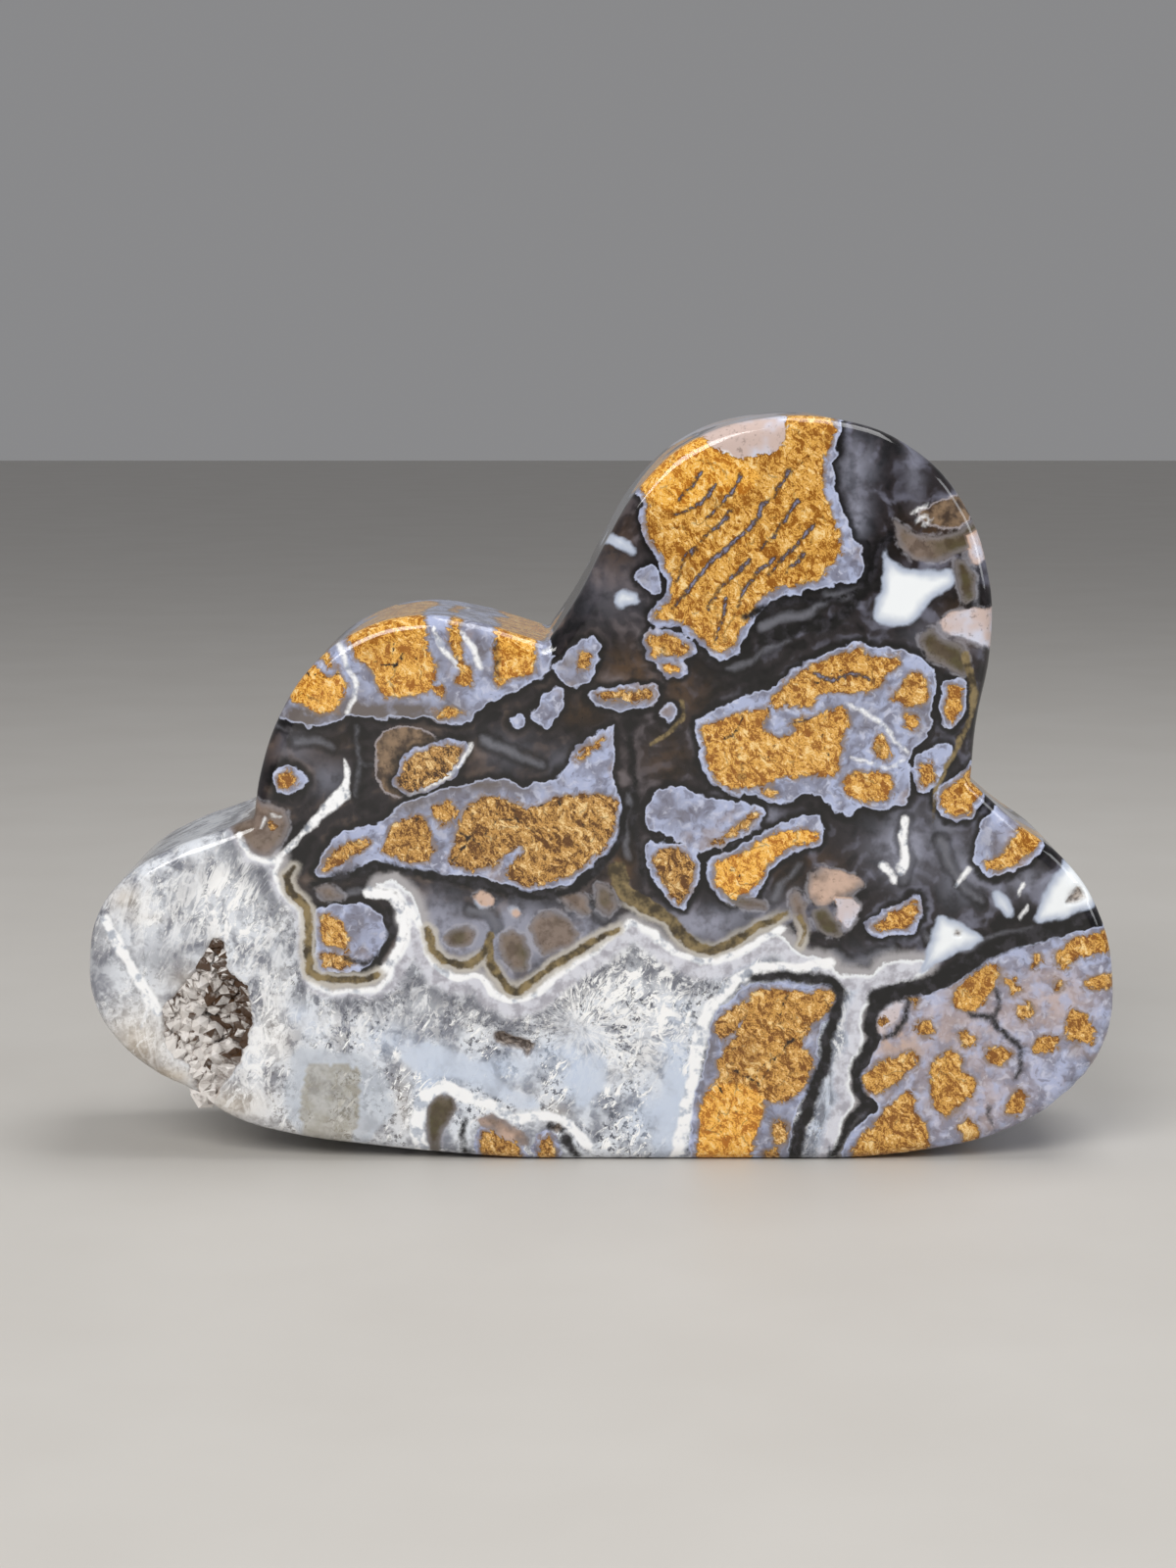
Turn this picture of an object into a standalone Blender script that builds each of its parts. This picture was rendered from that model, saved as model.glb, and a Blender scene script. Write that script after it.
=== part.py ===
"""A polished slab of brecciated jasper cut to the outline of a cloud, with a crystal-lined hollow.

Blender 4.5, metres, +Z up. The slab stands on a short flat under its middle, its broad polished
face looks along -Y, and the origin is the bottom centre of its box.
"""

import math
import random

import bmesh
import bpy
from mathutils import Matrix, Vector, noise

MM = 0.001

THICKNESS = 16.0 * MM
FRONT_Y = -THICKNESS / 2
EDGE_RADIUS = 1.1 * MM
EDGE_STEPS = 3
OUTLINE_STEPS = 5
WELD = 0.01 * MM

# The outline in millimetres, (x, z), clockwise from the left end of the flat that it stands on.
FLAT_LEFT = (-4.0, 0.0)
FLAT_RIGHT = (15.0, 0.0)
NOTCH_LEFT = (-23.8, 23.9)
NOTCH_TOP = (-3.75, 35.85)
NOTCH_RIGHT = (25.2, 26.4)
LEFT_LOBE = [
    (-10.0, 0.35), (-16.0, 0.95), (-21.5, 1.75), (-25.5, 2.95), (-28.3, 4.8), (-31.2, 6.4),
    (-33.6, 8.6), (-35.0, 11.2), (-35.24, 14.0), (-34.6, 17.2), (-32.6, 19.8), (-29.5, 21.7),
    (-26.0, 23.0),
]
MIDDLE_LOBE = [
    (-23.3, 27.0), (-21.9, 31.0), (-19.6, 34.4), (-16.3, 36.8), (-12.5, 37.75), (-8.8, 37.35),
    (-5.6, 36.45),
]
TOP_LOBE = [
    (-1.6, 39.1), (0.2, 42.6), (2.6, 46.5), (6.2, 49.6), (11.0, 51.05), (16.0, 50.95),
    (20.5, 49.3), (24.2, 45.7), (26.2, 40.5), (26.4, 35.5), (25.5, 30.3),
]
RIGHT_LOBE = [
    (28.3, 23.6), (31.6, 21.1), (34.0, 17.7), (35.23, 12.6), (34.7, 8.2), (32.2, 4.7),
    (28.2, 2.1), (22.8, 0.65),
]
FLAT_HANDLE = 2.0

# The hollow is a run of overlapping pockets: centre (x, depth behind the face, z) and radii, in
# millimetres, and the lean of the pocket in the face's plane, in degrees.
HOLLOW_POCKETS = [
    ((-25.9, 0.6, 9.9), (1.95, 4.6, 3.5), 8.0),
    ((-27.0, 0.4, 6.4), (1.8, 3.8, 2.9), -32.0),
    ((-28.1, 0.3, 9.3), (2.4, 2.8, 2.7), 24.0),
    ((-25.9, 0.1, 13.2), (1.1, 2.2, 2.6), -9.0),
]
HOLLOW_GRAIN = 0.55 * MM
HOLLOW_ROUGHNESS = 0.2
CRUST_GAP = 0.3
CRUST_SKIN = 0.4
CRUST_RECESS = Vector((0.0001, 0.0003, 0.00015))
MOUTH_FLARE = 0.5
CRYSTAL_COUNT = 110
CRYSTAL_SEED = 11
CRYSTAL_RADIUS = (0.38, 0.8)
CRYSTAL_LENGTH = (0.9, 1.9)
CRYSTAL_SPACING = 0.8
ROOT_DEPTH = 0.45 * MM

# Open pits in the polished face: centre (x, z), radii (x, depth, z) and lean, as above.
SMALL_PITS = [
    ((-6.2, 8.5), (1.45, 1.3, 0.5), 18.0),
    ((-5.0, 7.9), (0.55, 1.0, 0.75), -30.0),
    ((32.4, 18.6), (0.95, 0.8, 0.42), -35.0),
    ((-3.1, 2.35), (0.4, 0.6, 0.3), 40.0),
]


def clear_scene():
    for obj in list(bpy.data.objects):
        bpy.data.objects.remove(obj, do_unlink=True)


def new_collection(name):
    collection = bpy.data.collections.new(name)
    bpy.context.scene.collection.children.link(collection)
    return collection


def material(name, colour, roughness, transmission=0.0):
    mat = bpy.data.materials.new(name)
    mat.use_nodes = True
    shader = mat.node_tree.nodes["Principled BSDF"]
    shader.inputs["Base Color"].default_value = (*colour, 1.0)
    shader.inputs["Roughness"].default_value = roughness
    shader.inputs["Metallic"].default_value = 0.0
    shader.inputs["Transmission Weight"].default_value = transmission
    mat.diffuse_color = (*colour, 1.0)
    return mat


def mesh_object(name, bm, collection):
    bmesh.ops.recalc_face_normals(bm, faces=bm.faces)
    mesh = bpy.data.meshes.new(name)
    bm.to_mesh(mesh)
    bm.free()
    obj = bpy.data.objects.new(name, mesh)
    collection.objects.link(obj)
    return obj


def as_helper(obj):
    obj.hide_render = True
    obj.display_type = "WIRE"
    return obj


def settle(obj):
    """Makes the object's modifiers part of its mesh."""
    bpy.context.view_layer.update()
    graph = bpy.context.evaluated_depsgraph_get()
    mesh = bpy.data.meshes.new_from_object(obj.evaluated_get(graph))
    obj.modifiers.clear()
    obj.data = mesh
    return obj


def boolean(obj, operation, other):
    modifier = obj.modifiers.new(operation.title(), "BOOLEAN")
    modifier.operation = operation
    modifier.solver = "EXACT"
    if isinstance(other, bpy.types.Collection):
        modifier.operand_type = "COLLECTION"
        modifier.collection = other
    else:
        modifier.object = other
    return settle(obj)


def keep_largest_body(obj):
    """Drops the loose scraps and pockets that a trim leaves beside the main body."""
    bm = bmesh.new()
    bm.from_mesh(obj.data)
    bmesh.ops.remove_doubles(bm, verts=bm.verts, dist=WELD)
    unseen = set(bm.faces)
    bodies = []
    while unseen:
        waiting = [unseen.pop()]
        body = []
        while waiting:
            face = waiting.pop()
            body.append(face)
            for edge in face.edges:
                if len(edge.link_faces) != 2:
                    continue
                for other in edge.link_faces:
                    if other in unseen:
                        unseen.remove(other)
                        waiting.append(other)
        bodies.append(body)
    bodies.sort(key=len)
    scraps = [face for body in bodies[:-1] for face in body]
    bmesh.ops.delete(bm, geom=scraps, context="FACES")
    bm.to_mesh(obj.data)
    bm.free()


def outline_curve(name):
    """The cloud as a flat closed curve of half the slab's thickness each way."""
    curve = bpy.data.curves.new(name, "CURVE")
    curve.dimensions = "2D"
    curve.fill_mode = "BOTH"
    curve.extrude = THICKNESS / 2
    spline = curve.splines.new("BEZIER")
    corners = {NOTCH_LEFT, NOTCH_TOP, NOTCH_RIGHT}
    points = [FLAT_LEFT, *LEFT_LOBE, NOTCH_LEFT, *MIDDLE_LOBE, NOTCH_TOP, *TOP_LOBE]
    points += [NOTCH_RIGHT, *RIGHT_LOBE, FLAT_RIGHT]
    spline.bezier_points.add(len(points) - 1)
    for knot, (x, z) in zip(spline.bezier_points, points):
        knot.co = (x * MM, z * MM, 0.0)
        kind = "VECTOR" if (x, z) in corners else "AUTO"
        knot.handle_left_type = kind
        knot.handle_right_type = kind
        if (x, z) in (FLAT_LEFT, FLAT_RIGHT):
            knot.handle_left_type = "FREE"
            knot.handle_right_type = "FREE"
            knot.handle_left = ((x + FLAT_HANDLE) * MM, z * MM, 0.0)
            knot.handle_right = ((x - FLAT_HANDLE) * MM, z * MM, 0.0)
    spline.use_cyclic_u = True
    curve.resolution_u = OUTLINE_STEPS
    obj = bpy.data.objects.new(name, curve)
    obj.rotation_euler = (math.pi / 2, 0.0, 0.0)
    bpy.context.scene.collection.objects.link(obj)
    return obj


def slab(name, collection):
    """The cloud's outline given its thickness, with the long edges of both faces rounded."""
    outline = outline_curve("outline")
    bpy.context.view_layer.update()
    graph = bpy.context.evaluated_depsgraph_get()
    mesh = bpy.data.meshes.new_from_object(outline.evaluated_get(graph))
    mesh.transform(outline.matrix_world)
    bpy.data.objects.remove(outline)
    bm = bmesh.new()
    bm.from_mesh(mesh)
    bmesh.ops.remove_doubles(bm, verts=bm.verts, dist=WELD)
    bmesh.ops.recalc_face_normals(bm, faces=bm.faces)
    rims = [
        edge
        for edge in bm.edges
        if sum(abs(face.normal.y) > 0.9 for face in edge.link_faces) == 1
    ]
    bmesh.ops.bevel(
        bm,
        geom=rims,
        offset=EDGE_RADIUS,
        segments=EDGE_STEPS,
        profile=0.5,
        affect="EDGES",
        clamp_overlap=False,
    )
    return mesh_object(name, bm, collection)


def lumpy(direction, salt):
    """A share of the radius, which makes a pocket's wall uneven. Each pocket has its own salt."""
    return 1.0 + HOLLOW_ROUGHNESS * noise.noise(direction * 2.3 + Vector((salt, 0.0, 0.0)))


def add_pocket(bm, centre, radii, lean, shrink, forward, salt):
    made = bmesh.ops.create_icosphere(bm, subdivisions=4, radius=1.0)["verts"]
    turn = Matrix.Rotation(math.radians(lean), 3, "Y")
    middle = Vector((centre[0] * MM, FRONT_Y + (centre[1] - forward) * MM, centre[2] * MM))
    for vert in made:
        direction = vert.co.normalized()
        reach = lumpy(direction, salt)
        grown = Vector([d * (r * reach - shrink) * MM for d, r in zip(direction, radii)])
        vert.co = middle + turn @ grown


def hollow_form(name, shrink, collection, forward=0.0):
    """The hollow as one closed lump, smaller all round by shrink millimetres and moved forward."""
    bm = bmesh.new()
    for salt, (centre, radii, lean) in enumerate(HOLLOW_POCKETS):
        add_pocket(bm, centre, radii, lean, shrink, forward, 5.0 * salt)
    obj = mesh_object(name, bm, collection)
    remesh = obj.modifiers.new("Join", "REMESH")
    remesh.mode = "VOXEL"
    remesh.voxel_size = HOLLOW_GRAIN
    return settle(obj)


def pit(name, centre, radii, lean, collection):
    """A small open pit in the polished face, with its widest part at the face."""
    bm = bmesh.new()
    made = bmesh.ops.create_icosphere(bm, subdivisions=2, radius=1.0)["verts"]
    turn = Matrix.Rotation(math.radians(lean), 3, "Y")
    middle = Vector((centre[0] * MM, FRONT_Y, centre[1] * MM))
    for vert in made:
        vert.co = middle + turn @ Vector([c * r * MM for c, r in zip(vert.co, radii)])
    return as_helper(mesh_object(name, bm, collection))


def crystal(name, root, direction, radius, length, collection):
    """A six-sided quartz point: a tapering prism with a pyramid on its end."""
    bm = bmesh.new()
    bmesh.ops.create_cone(
        bm, cap_ends=True, segments=6, radius1=radius, radius2=radius * 0.86, depth=length
    )
    top = max(bm.faces, key=lambda face: face.calc_center_median().z)
    tip = bmesh.ops.poke(bm, faces=[top])["verts"][0]
    tip.co.z += radius * 1.05
    turn = direction.to_track_quat("Z", "Y").to_matrix().to_4x4()
    spin = Matrix.Rotation(root.x / MM * 1.7 + root.z / MM, 4, "Z")
    bm.transform(Matrix.Translation(root) @ turn @ spin)
    return mesh_object(name, bm, collection)


def joined_points(name, points, collection):
    """The overlapping crystal points as one mesh."""
    first, *others = points.objects
    joined = as_helper(bpy.data.objects.new(name, first.data.copy()))
    collection.objects.link(joined)
    points.objects.unlink(first)
    return boolean(joined, "UNION", points)


def crystal_sites(wall):
    """Evenly spread places on the hollow's wall, behind the polished face, with the way each looks."""
    rng = random.Random(CRYSTAL_SEED)
    faces = [face for face in wall.data.polygons if face.center.y > FRONT_Y + ROOT_DEPTH]
    rng.shuffle(faces)
    sites = []
    for face in faces:
        if len(sites) == CRYSTAL_COUNT:
            break
        if all((face.center - other).length > CRYSTAL_SPACING * MM for other, _ in sites):
            sites.append((face.center.copy(), -face.normal))
    return sites


def crust_with_crystals(name, body, collection, helpers):
    """The quartz that lines the hollow, a thin skin with crystal points, clear of the stone."""
    outer = as_helper(hollow_form("crust_outer", CRUST_GAP, helpers))
    root_limit = as_helper(hollow_form("crystal_roots", CRUST_GAP + CRUST_SKIN / 3, helpers))
    inner = hollow_form("crust_inner", CRUST_GAP + CRUST_SKIN, helpers, MOUTH_FLARE)
    as_helper(inner)
    points = bpy.data.collections.new("crystal_points")
    helpers.children.link(points)
    rng = random.Random(CRYSTAL_SEED)
    open_side = Vector((-0.25, -1.0, 0.1))
    for index, (root, inward) in enumerate(crystal_sites(outer)):
        jitter = Vector([rng.uniform(-0.35, 0.35) for _ in range(3)])
        direction = (inward + 0.45 * open_side + jitter).normalized()
        radius = rng.uniform(*CRYSTAL_RADIUS) * MM
        length = min(rng.uniform(*CRYSTAL_LENGTH) * MM, 1.4 * (root.y - FRONT_Y))
        made = crystal(f"point_{index:02d}", root, direction, radius, length, points)
        as_helper(made)
    druse = as_helper(bpy.data.objects.new("druse", root_limit.data.copy()))
    helpers.objects.link(druse)
    boolean(druse, "INTERSECT", joined_points("joined_points", points, helpers))
    crust = bpy.data.objects.new(name, outer.data.copy())
    collection.objects.link(crust)
    boolean(crust, "DIFFERENCE", inner)
    boolean(crust, "UNION", druse)
    recess = as_helper(bpy.data.objects.new("recessed_slab", body.data.copy()))
    recess.data.transform(Matrix.Translation(CRUST_RECESS))
    helpers.objects.link(recess)
    boolean(crust, "INTERSECT", recess)
    keep_largest_body(crust)
    return crust


def build():
    clear_scene()
    parts = new_collection("brecciated_jasper_cloud")
    helpers = new_collection("cutters")
    helpers.hide_render = True

    stone = slab("polished_stone", parts)
    uncut = as_helper(bpy.data.objects.new("uncut_slab", stone.data.copy()))
    helpers.objects.link(uncut)
    boolean(stone, "DIFFERENCE", as_helper(hollow_form("hollow", 0.0, helpers)))
    for number, (centre, radii, lean) in enumerate(SMALL_PITS, 1):
        boolean(stone, "DIFFERENCE", pit(f"pit_{number}", centre, radii, lean, helpers))
    keep_largest_body(stone)
    stone.data.materials.clear()
    stone.data.materials.append(material("polished_breccia", (0.19, 0.15, 0.13), 0.12))
    stone.data.shade_smooth()
    stone.data.set_sharp_from_angle(angle=math.radians(40))

    crust = crust_with_crystals("crystal_crust", uncut, parts, helpers)
    crust.data.materials.clear()
    crust.data.materials.append(material("smoky_quartz", (0.52, 0.47, 0.43), 0.18, 0.4))


build()
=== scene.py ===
import math
import random

import bmesh
import bpy
import numpy as np
from mathutils import Matrix, Vector, geometry, noise


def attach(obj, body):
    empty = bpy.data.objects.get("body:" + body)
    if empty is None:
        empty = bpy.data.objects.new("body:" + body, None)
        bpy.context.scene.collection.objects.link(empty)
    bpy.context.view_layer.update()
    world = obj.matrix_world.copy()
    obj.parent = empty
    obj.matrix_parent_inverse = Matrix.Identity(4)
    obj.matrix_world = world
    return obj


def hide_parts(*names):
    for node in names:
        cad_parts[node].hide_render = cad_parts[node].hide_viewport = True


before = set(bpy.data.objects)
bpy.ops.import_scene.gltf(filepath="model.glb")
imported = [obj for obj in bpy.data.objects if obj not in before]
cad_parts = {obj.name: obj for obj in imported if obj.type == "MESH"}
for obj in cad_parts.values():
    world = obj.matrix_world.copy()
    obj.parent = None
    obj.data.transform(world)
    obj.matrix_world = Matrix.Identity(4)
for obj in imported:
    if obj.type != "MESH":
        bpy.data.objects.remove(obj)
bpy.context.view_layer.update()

# Lengths are in millimetres here, in the frame's axes, unless a name says otherwise.
MM = 0.001
HALF_THICKNESS = 8.0
EDGE_RADIUS = 1.1
EDGE_RINGS = 6
FRONT_STEP = 0.235
BACK_STEP = 0.46
RIM_STEP = 0.32
RIM_ROWS = 34
# The outline is read just off the middle plane, so that no corner of the solid lies in it.
SECTION_Y = 0.013
# Depths are measured this far outside a marking.
FAR = 4.0

NOISE_SEED = 7
# How far the markings drift and how much the clasts shrink towards the back, and over what size.
DRIFT = 4.2
DRIFT_SIZE = 11.0
LOSS = 4.5
LOSS_SIZE = 6.5
# A marking's point this near to the stone's edge is carried on by this much.
EDGE_BAND = 0.75
CARRY_ON = 4.5
STONE_MIDDLE = np.array([2.0, 20.0])

CRYSTAL_CELL = 0.68
CRYSTAL_GAPS = 0.06
CRYSTAL_RADII = (0.32, 0.46, 0.62, 0.85, 1.15)
CHIP_DEPTH = 0.22
JAG_DEPTH = 0.3

CAMERA_PLACE = (-0.000933, -0.220, 0.055)
CAMERA_TILT = 7.702
CAMERA_LENS = 72.2


def marks(text):
    """Outlines or lines from "numbers: x z,x z,...;", with x and z in tenths of a millimetre."""
    found = []
    for mark in text.split(";"):
        numbers, _, places = mark.rpartition(":")
        points = np.array([pair.split() for pair in places.split(",")], float) / 10
        found.append(([float(number) for number in numbers.split()], points))
    return found


# The markings are drawn as the polished face shows them. A point at the stone's edge is carried on
# past it, so that the marking runs off the stone.

# Ochre clasts, with how bright each is.
GOLD = marks("""
0.9: -202 344,-207 325,-207 318,-194 312,-180 313,-174 325,-174 337,-188 338;
0.6: -194 347,-186 353,-176 342,-177 339,-199 340;
0.75: -167 351,-169 364,-153 371,-121 373,-118 355,-112 344,-114 325,-148 322,-153 334,-156 342;
0.5: -113 330,-108 331,-105 326,-109 323,-113 325;
0.6: -105 365,-100 370,-96 355,-87 337,-89 330,-100 334,-96 342,-102 355;
0.85: -79 366,-70 364,-54 359,-45 347,-46 339,-60 335,-70 330,-74 344;
0.5: -115 314,-105 316,-93 313,-100 309,-112 310;
0.28: -140.5 237,-125 242,-119 237,-114 217,-119 209,-137 210,-150 217,-146 227;
0.35: -115 249,-105 252.5,-98 247,-100 240,-109 233,-115 242;
0.22: -93 247,-82 255,-60 252.5,-50 247,-31 255,9 255,10 245,9 231,0 217,-15 204,-33 196,-51 193,-64 198,
  -66 204,-54 217,-54 221,-64 217,-77 204,-92 202,-105 210,-100 227;
0.35: -192 204,-184 217,-174 222,-161 227,-158 222,-168 214,-176 209,-190 202;
0.4: -20 280,-10 290,1.5 296,0 293,-8 285,-13 280;
0.45: -194 171,-186 175,-176 166,-172 150,-177.5 147,-191.5 152;
0.25: -193 145,-183 146,-172 142,-168 137,-192 135;
0.3: -228 238,-223 239,-221 235,-224 232,-228 234;
0.5: -220 270,-214 273,-208 269,-208 263,-214 259,-220 262;
0.35: -16 353,-11 355,-7 351,-7.5 344,-12 341,-16 344;
0.3: -5 324,5 327,20 326,27 329,36 328,33 322,22 320,5 321;
0.5: 29 364,46 365,62 356,53 350,43 352,36 349;
0.75: 41 344,46 346,54 343,52 339,44 339;
0.62: 31 458,31 469,46.5 484,62 490,77.5 488,93 484,110 486,124 494,127 507,141 509,154 508,155 496,150 484,
  148 469,152 455,155 446,161 431,161 420,152 410,146 401,127 398,110 393,93 369,90 358,81 353,74 357,
  59 369,52 376,40 374,34 377,46.5 389,48 403,41 417,33 432,29 446;
1: 31 458,31 469,46.5 484,62 490,77.5 488,93 484,106 472,98 459,82 462,64 452,44 449;
0.62: 67 303,83 308,103 314,114 314,110 300,121 295,134 300,143 310,155 314,166 317,166 300,160 269,141 269,
  121 267,103 260,90 259,76 267,71 279;
0.55: 115 314,114 322,127 334,141 345,162 353,177 356,179 348,200 352,203 345,193 338,186 327,172 326,
  155 326,146 322,141 314,127 317;
0.5: 210 341,220 338,222 321,207 315,195 321,203 331;
0.6: 205 312,215 310,214 300,205 302;
0.5: 183 291,189 298,196 291,196 281,191 279,186 284;
0.65: 165 265,169 271,196 271,200 260,193 252,172 250,166 257;
0.5: 108 257,114 260,121 257,115 253;
0.6: 234 331,245 332,244 314,236 303,233 314;
0.5: 214 276,224 279,227 265,219 260;
0.6: 229 257,249 260,253 245,241 240,231 247;
0.3: 72 221,90 234,105 246,107 241,100 233,86 226;
1: 75 210,96 215,114 229,134 233,146 231,148 226,127 217,114 209,103 190,90 184,77.5 193;
0.2: 34 210,41 219,55 219,64 207,60 190,53 179,43 193;
0.55: 183 165,214 184,217 176,210 162,186 162;
0.6: 260 209,272 214,282 228,293 228,301 217,286 209,265 202;
0.42: 103 121,121 122,141 119,158 122,162 118,157 107,145 97,138 83,146 69,141 52,127 41,117 42,76 52,83 73,
  95 95;
1.1: 64 6,67 38,76 55,93 57,110 48,114 41,107 24,100 6,72 5;
0.3: 77.5 93,83 104,102 117,100 104,90 90,83 85;
0.6: 239 115,251 129,266 139,273 136,270 124,262 110,254 105,244 107;
0.45: 276 129,284 129,287 120,282 116;
0.55: 311 146,320 155,334 159,350 159,349 140,328 144,317 135,311 138;
0.4: 295 146,301 146,302 137,296 135;
0.5: 328 129,352 132,352 121,332 121;
0.4: 311 128,317 126,315 118,310 120;
0.5: 181 61,196 72,216 79,217 68,204 56,190 47,181 52;
0.55: 228 72,240 79,248 76,247 64,259 56,256 46,249 42,241 31,230 36,226 54;
0.45: 244 88,252 94,258 84,249 79;
0.5: 264 79,276 82,286 76,274 67,266 69;
0.5: 162 2,176 16,188 24,196 38,210 50,218 48,217 32,226 24,219 12,200 4,174 1;
0.5: 279 34,282 48,290 52,294 44,287 32;
0.45: 246 24,253 32,260 26,254 19,248 18;
0.5: 296 80,304 89,314 87,312 78,300 76;
0.5: 318 99,324 108,332 104,340 90,338 81,328 84,320 86;
0.35: 285 109,293 113,297 103,289 99;
0.45: 218 99,226 100,230 89,222 87,216 92;
0.4: 210 114,219 115,216 107;
0.08: -139 264,-132 282,-110 290,-93 289,-102 272,-116 263,-132 257;
0.4: 120 319,126 326,132 324,128 318;
0.5: 126 304,136 310,142 306,134 299;
0.35: -84 22,-70 19,-56 12,-50 4,-80 3;
0.35: -44 15,-36 18,-31 10,-34 3,-42 4;
0.3: 121 31,129 25,127 14,121 12,118 21;
0.35: 112 8,122 9,124 3,112 2;
0.3: 190 99,198 103,201 98,193 94
""")
# Blue-grey agate around the clasts.
HALO = marks("""
154 509,163 506,159 494,156 482,155 469,160 454,167 436,174 426,177 414,173 402,162 400,152 397,129 392,
  112 387,99 368,93 352,80 348,70 352,80 400,120 460;
-224 306,-200 302,-182 304,-172 310,-162 310,-150 308,-130 308,-115 309,-100 304,-93 304,-83 312,-79 319,
  -68 322,-58 326,-49 332,-38 337,-34 346,-39 356,-60 365,-90 374,-125 378,-163 368,-196 344;
-197 201,-194 210,-181 230,-151 237,-133 253,-100 263,-64 268,-54 263,-31 265,-28 273,-10 288,8 304,9 298,
  8 270,10 255,13 245,11 228,0 214,-20 194,-49 190,-64 193,-82 198,-105 201,-148 207,-158 212,-171 201,
  -181 199;
-225 266,-222 274,-214 278,-206 274,-198 269,-199 265,-204 260,-213 254,-222 257;
-174 181,-160 181,-149 173,-146 159,-152 146,-160 136,-194 133,-198 174,-188 181;
-1 359,-7 364,-18 360,-29 349,-33 342,-27 332,-20 329,-10 333,-4 338,-2 348;
-26 330,-32 330,-41 324,-43 318,-49 311,-48 306,-36 302,-30 308,-26 319;
-63 307,-56 313,-50 309,-52 302,-60 301;
-10 326,5 330,20 329,36 332,41 324,33 316,15 312,2 315,-8 319;
37 312,45 320,53 313,46 304;
21 407,34 414,40 407,40 393,31 393;
65 305,76 314,100 326,112 327,115 332,121 331,127 338,141 348,155 355,174 359,183 357,203 356,217 350,
  227 339,227 324,224 314,222 296,210 283,209 272,212 259,206 250,196 247,189 243,184 246,174 247,169 241,
  160 243,153 250,148 257,140 257,129 250,117 250,109 254,93 256,81 259,70 272,66 286,64 296;
230 334,249 337,248 312,236 298,229 313;
210 283,236 293,238 279,227 262,217 258;
226 259,252 263,255 242,241 237,228 246;
29 248,38 259,53 262,69 255,86 252,107 250,110 245,103 234,86 224,69 215,57 222,45 229,31 233;
72 212,95 220,113 233,147 245,153 232,150 223,127 213,117 206,107 187,90 180,74 192;
30 224,64 222,68 206,65 193,55 175,39 190,30 209;
180 164,214 188,220 177,213 159,185 159;
253 210,259 240,274 243,294 234,306 219,288 205,265 198;
192 84,184 70,182 50,192 38,179 26,166 16,163 5,200 3,250 12,290 28,324 52,340 70,352 110,352 130,347 163,
  314 158,284 152,265 143,240 125,213 113,196 107;
59 4,61 40,70 62,73 93,80 108,100 125,121 127,161 126,166 118,160 104,150 94,150 65,144 49,136 36,131 24,
  127 4
""")
BROWN_CLASTS = marks("""
-148 298,-139 302,-120 301,-110 291,-93 289,-100 270,-105 268,-115 261,-133 255,-139 253,-149 258,-153 273,
  -153 293;
214 451,239 448,243 438,227 436,213 442
""")
# White quartz and the white channel that runs down from it.
QUARTZ = marks("""
-247 236,-242 214,-230 211,-218 212,-222 204,-221 194,-215 184,-206 177,-204 163,-202 138,-199 124,-186 120,
  -156 120,-148 125,-143 138,-132 156,-135 178,-140 191,-156 192,-142 199,-129 186,-122 168,-121 156,
  -118 143,-108 132,-98 129,-86 133,-82 130,-74 118,-62 112,-50 115,-40 122,-30 132,-10 144,10 160,21 169,
  41 154,53 145,69 139,83 141,103 151,122 162,131 150,141 144,154 142,162 133,172 131,186 131,193 139,
  206 142,220 142,226 136,214 126,198 121,186 116,181 108,178 98,182 83,172 66,170 54,176 42,166 26,163 14,
  154 1,138 1,70 1,-40 1,-100 4,-160 10,-215 17,-255 29,-312 64,-352 112,-352 140,-346 172,-326 198,
  -295 217,-260 230
""")
# Clouded crystals inside the quartz, with how blue each is.
GHOSTS = marks("""
0.7: -222 36,-212 82,-190 80,-164 76,-148 60,-142 34,-156 20,-174 18;
0: -209 30,-203 70,-180 68,-165 66,-168 24,-186 18;
1: -142 76,-122 86,-98 78,-78 66,-58 48,-44 46,-40 38,-58 36,-80 48,-100 58,-126 60;
1: -22 50,-16 66,-6 78,4 74,6 60,-2 48,-10 38,-18 38;
1: 42 68,52 78,58 60,58 36,50 10,34 6,34 18,42 36
""")
# White patches. The largest, at the top right, is a pale translucent window whose bright white-blue middle
# is a painted reflection.
WHITE = marks("""
190 426,193 417,203 410,224 408,236 409,238 400,231 393,220 388,214 377,207 372,193 372,183 376,184 386,
  189 396,190 410;
296 169,300 183,307 197,314 209,331 194,340 176,313 169,301 167;
229 174,244 168,264 155,246 149,232 140,219 132,222 144,226 156;
3 434,12 433,22 425,22 419,10 423;
9 389,14 396,22 394,25 386,17 385,12 382;
268 189,273 190,279 182,282 173,276 172,270 180;
-87 184,-79 187,-76 180,-83 177;
-64 178,-58 180,-56 175,-62 172
""")
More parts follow.
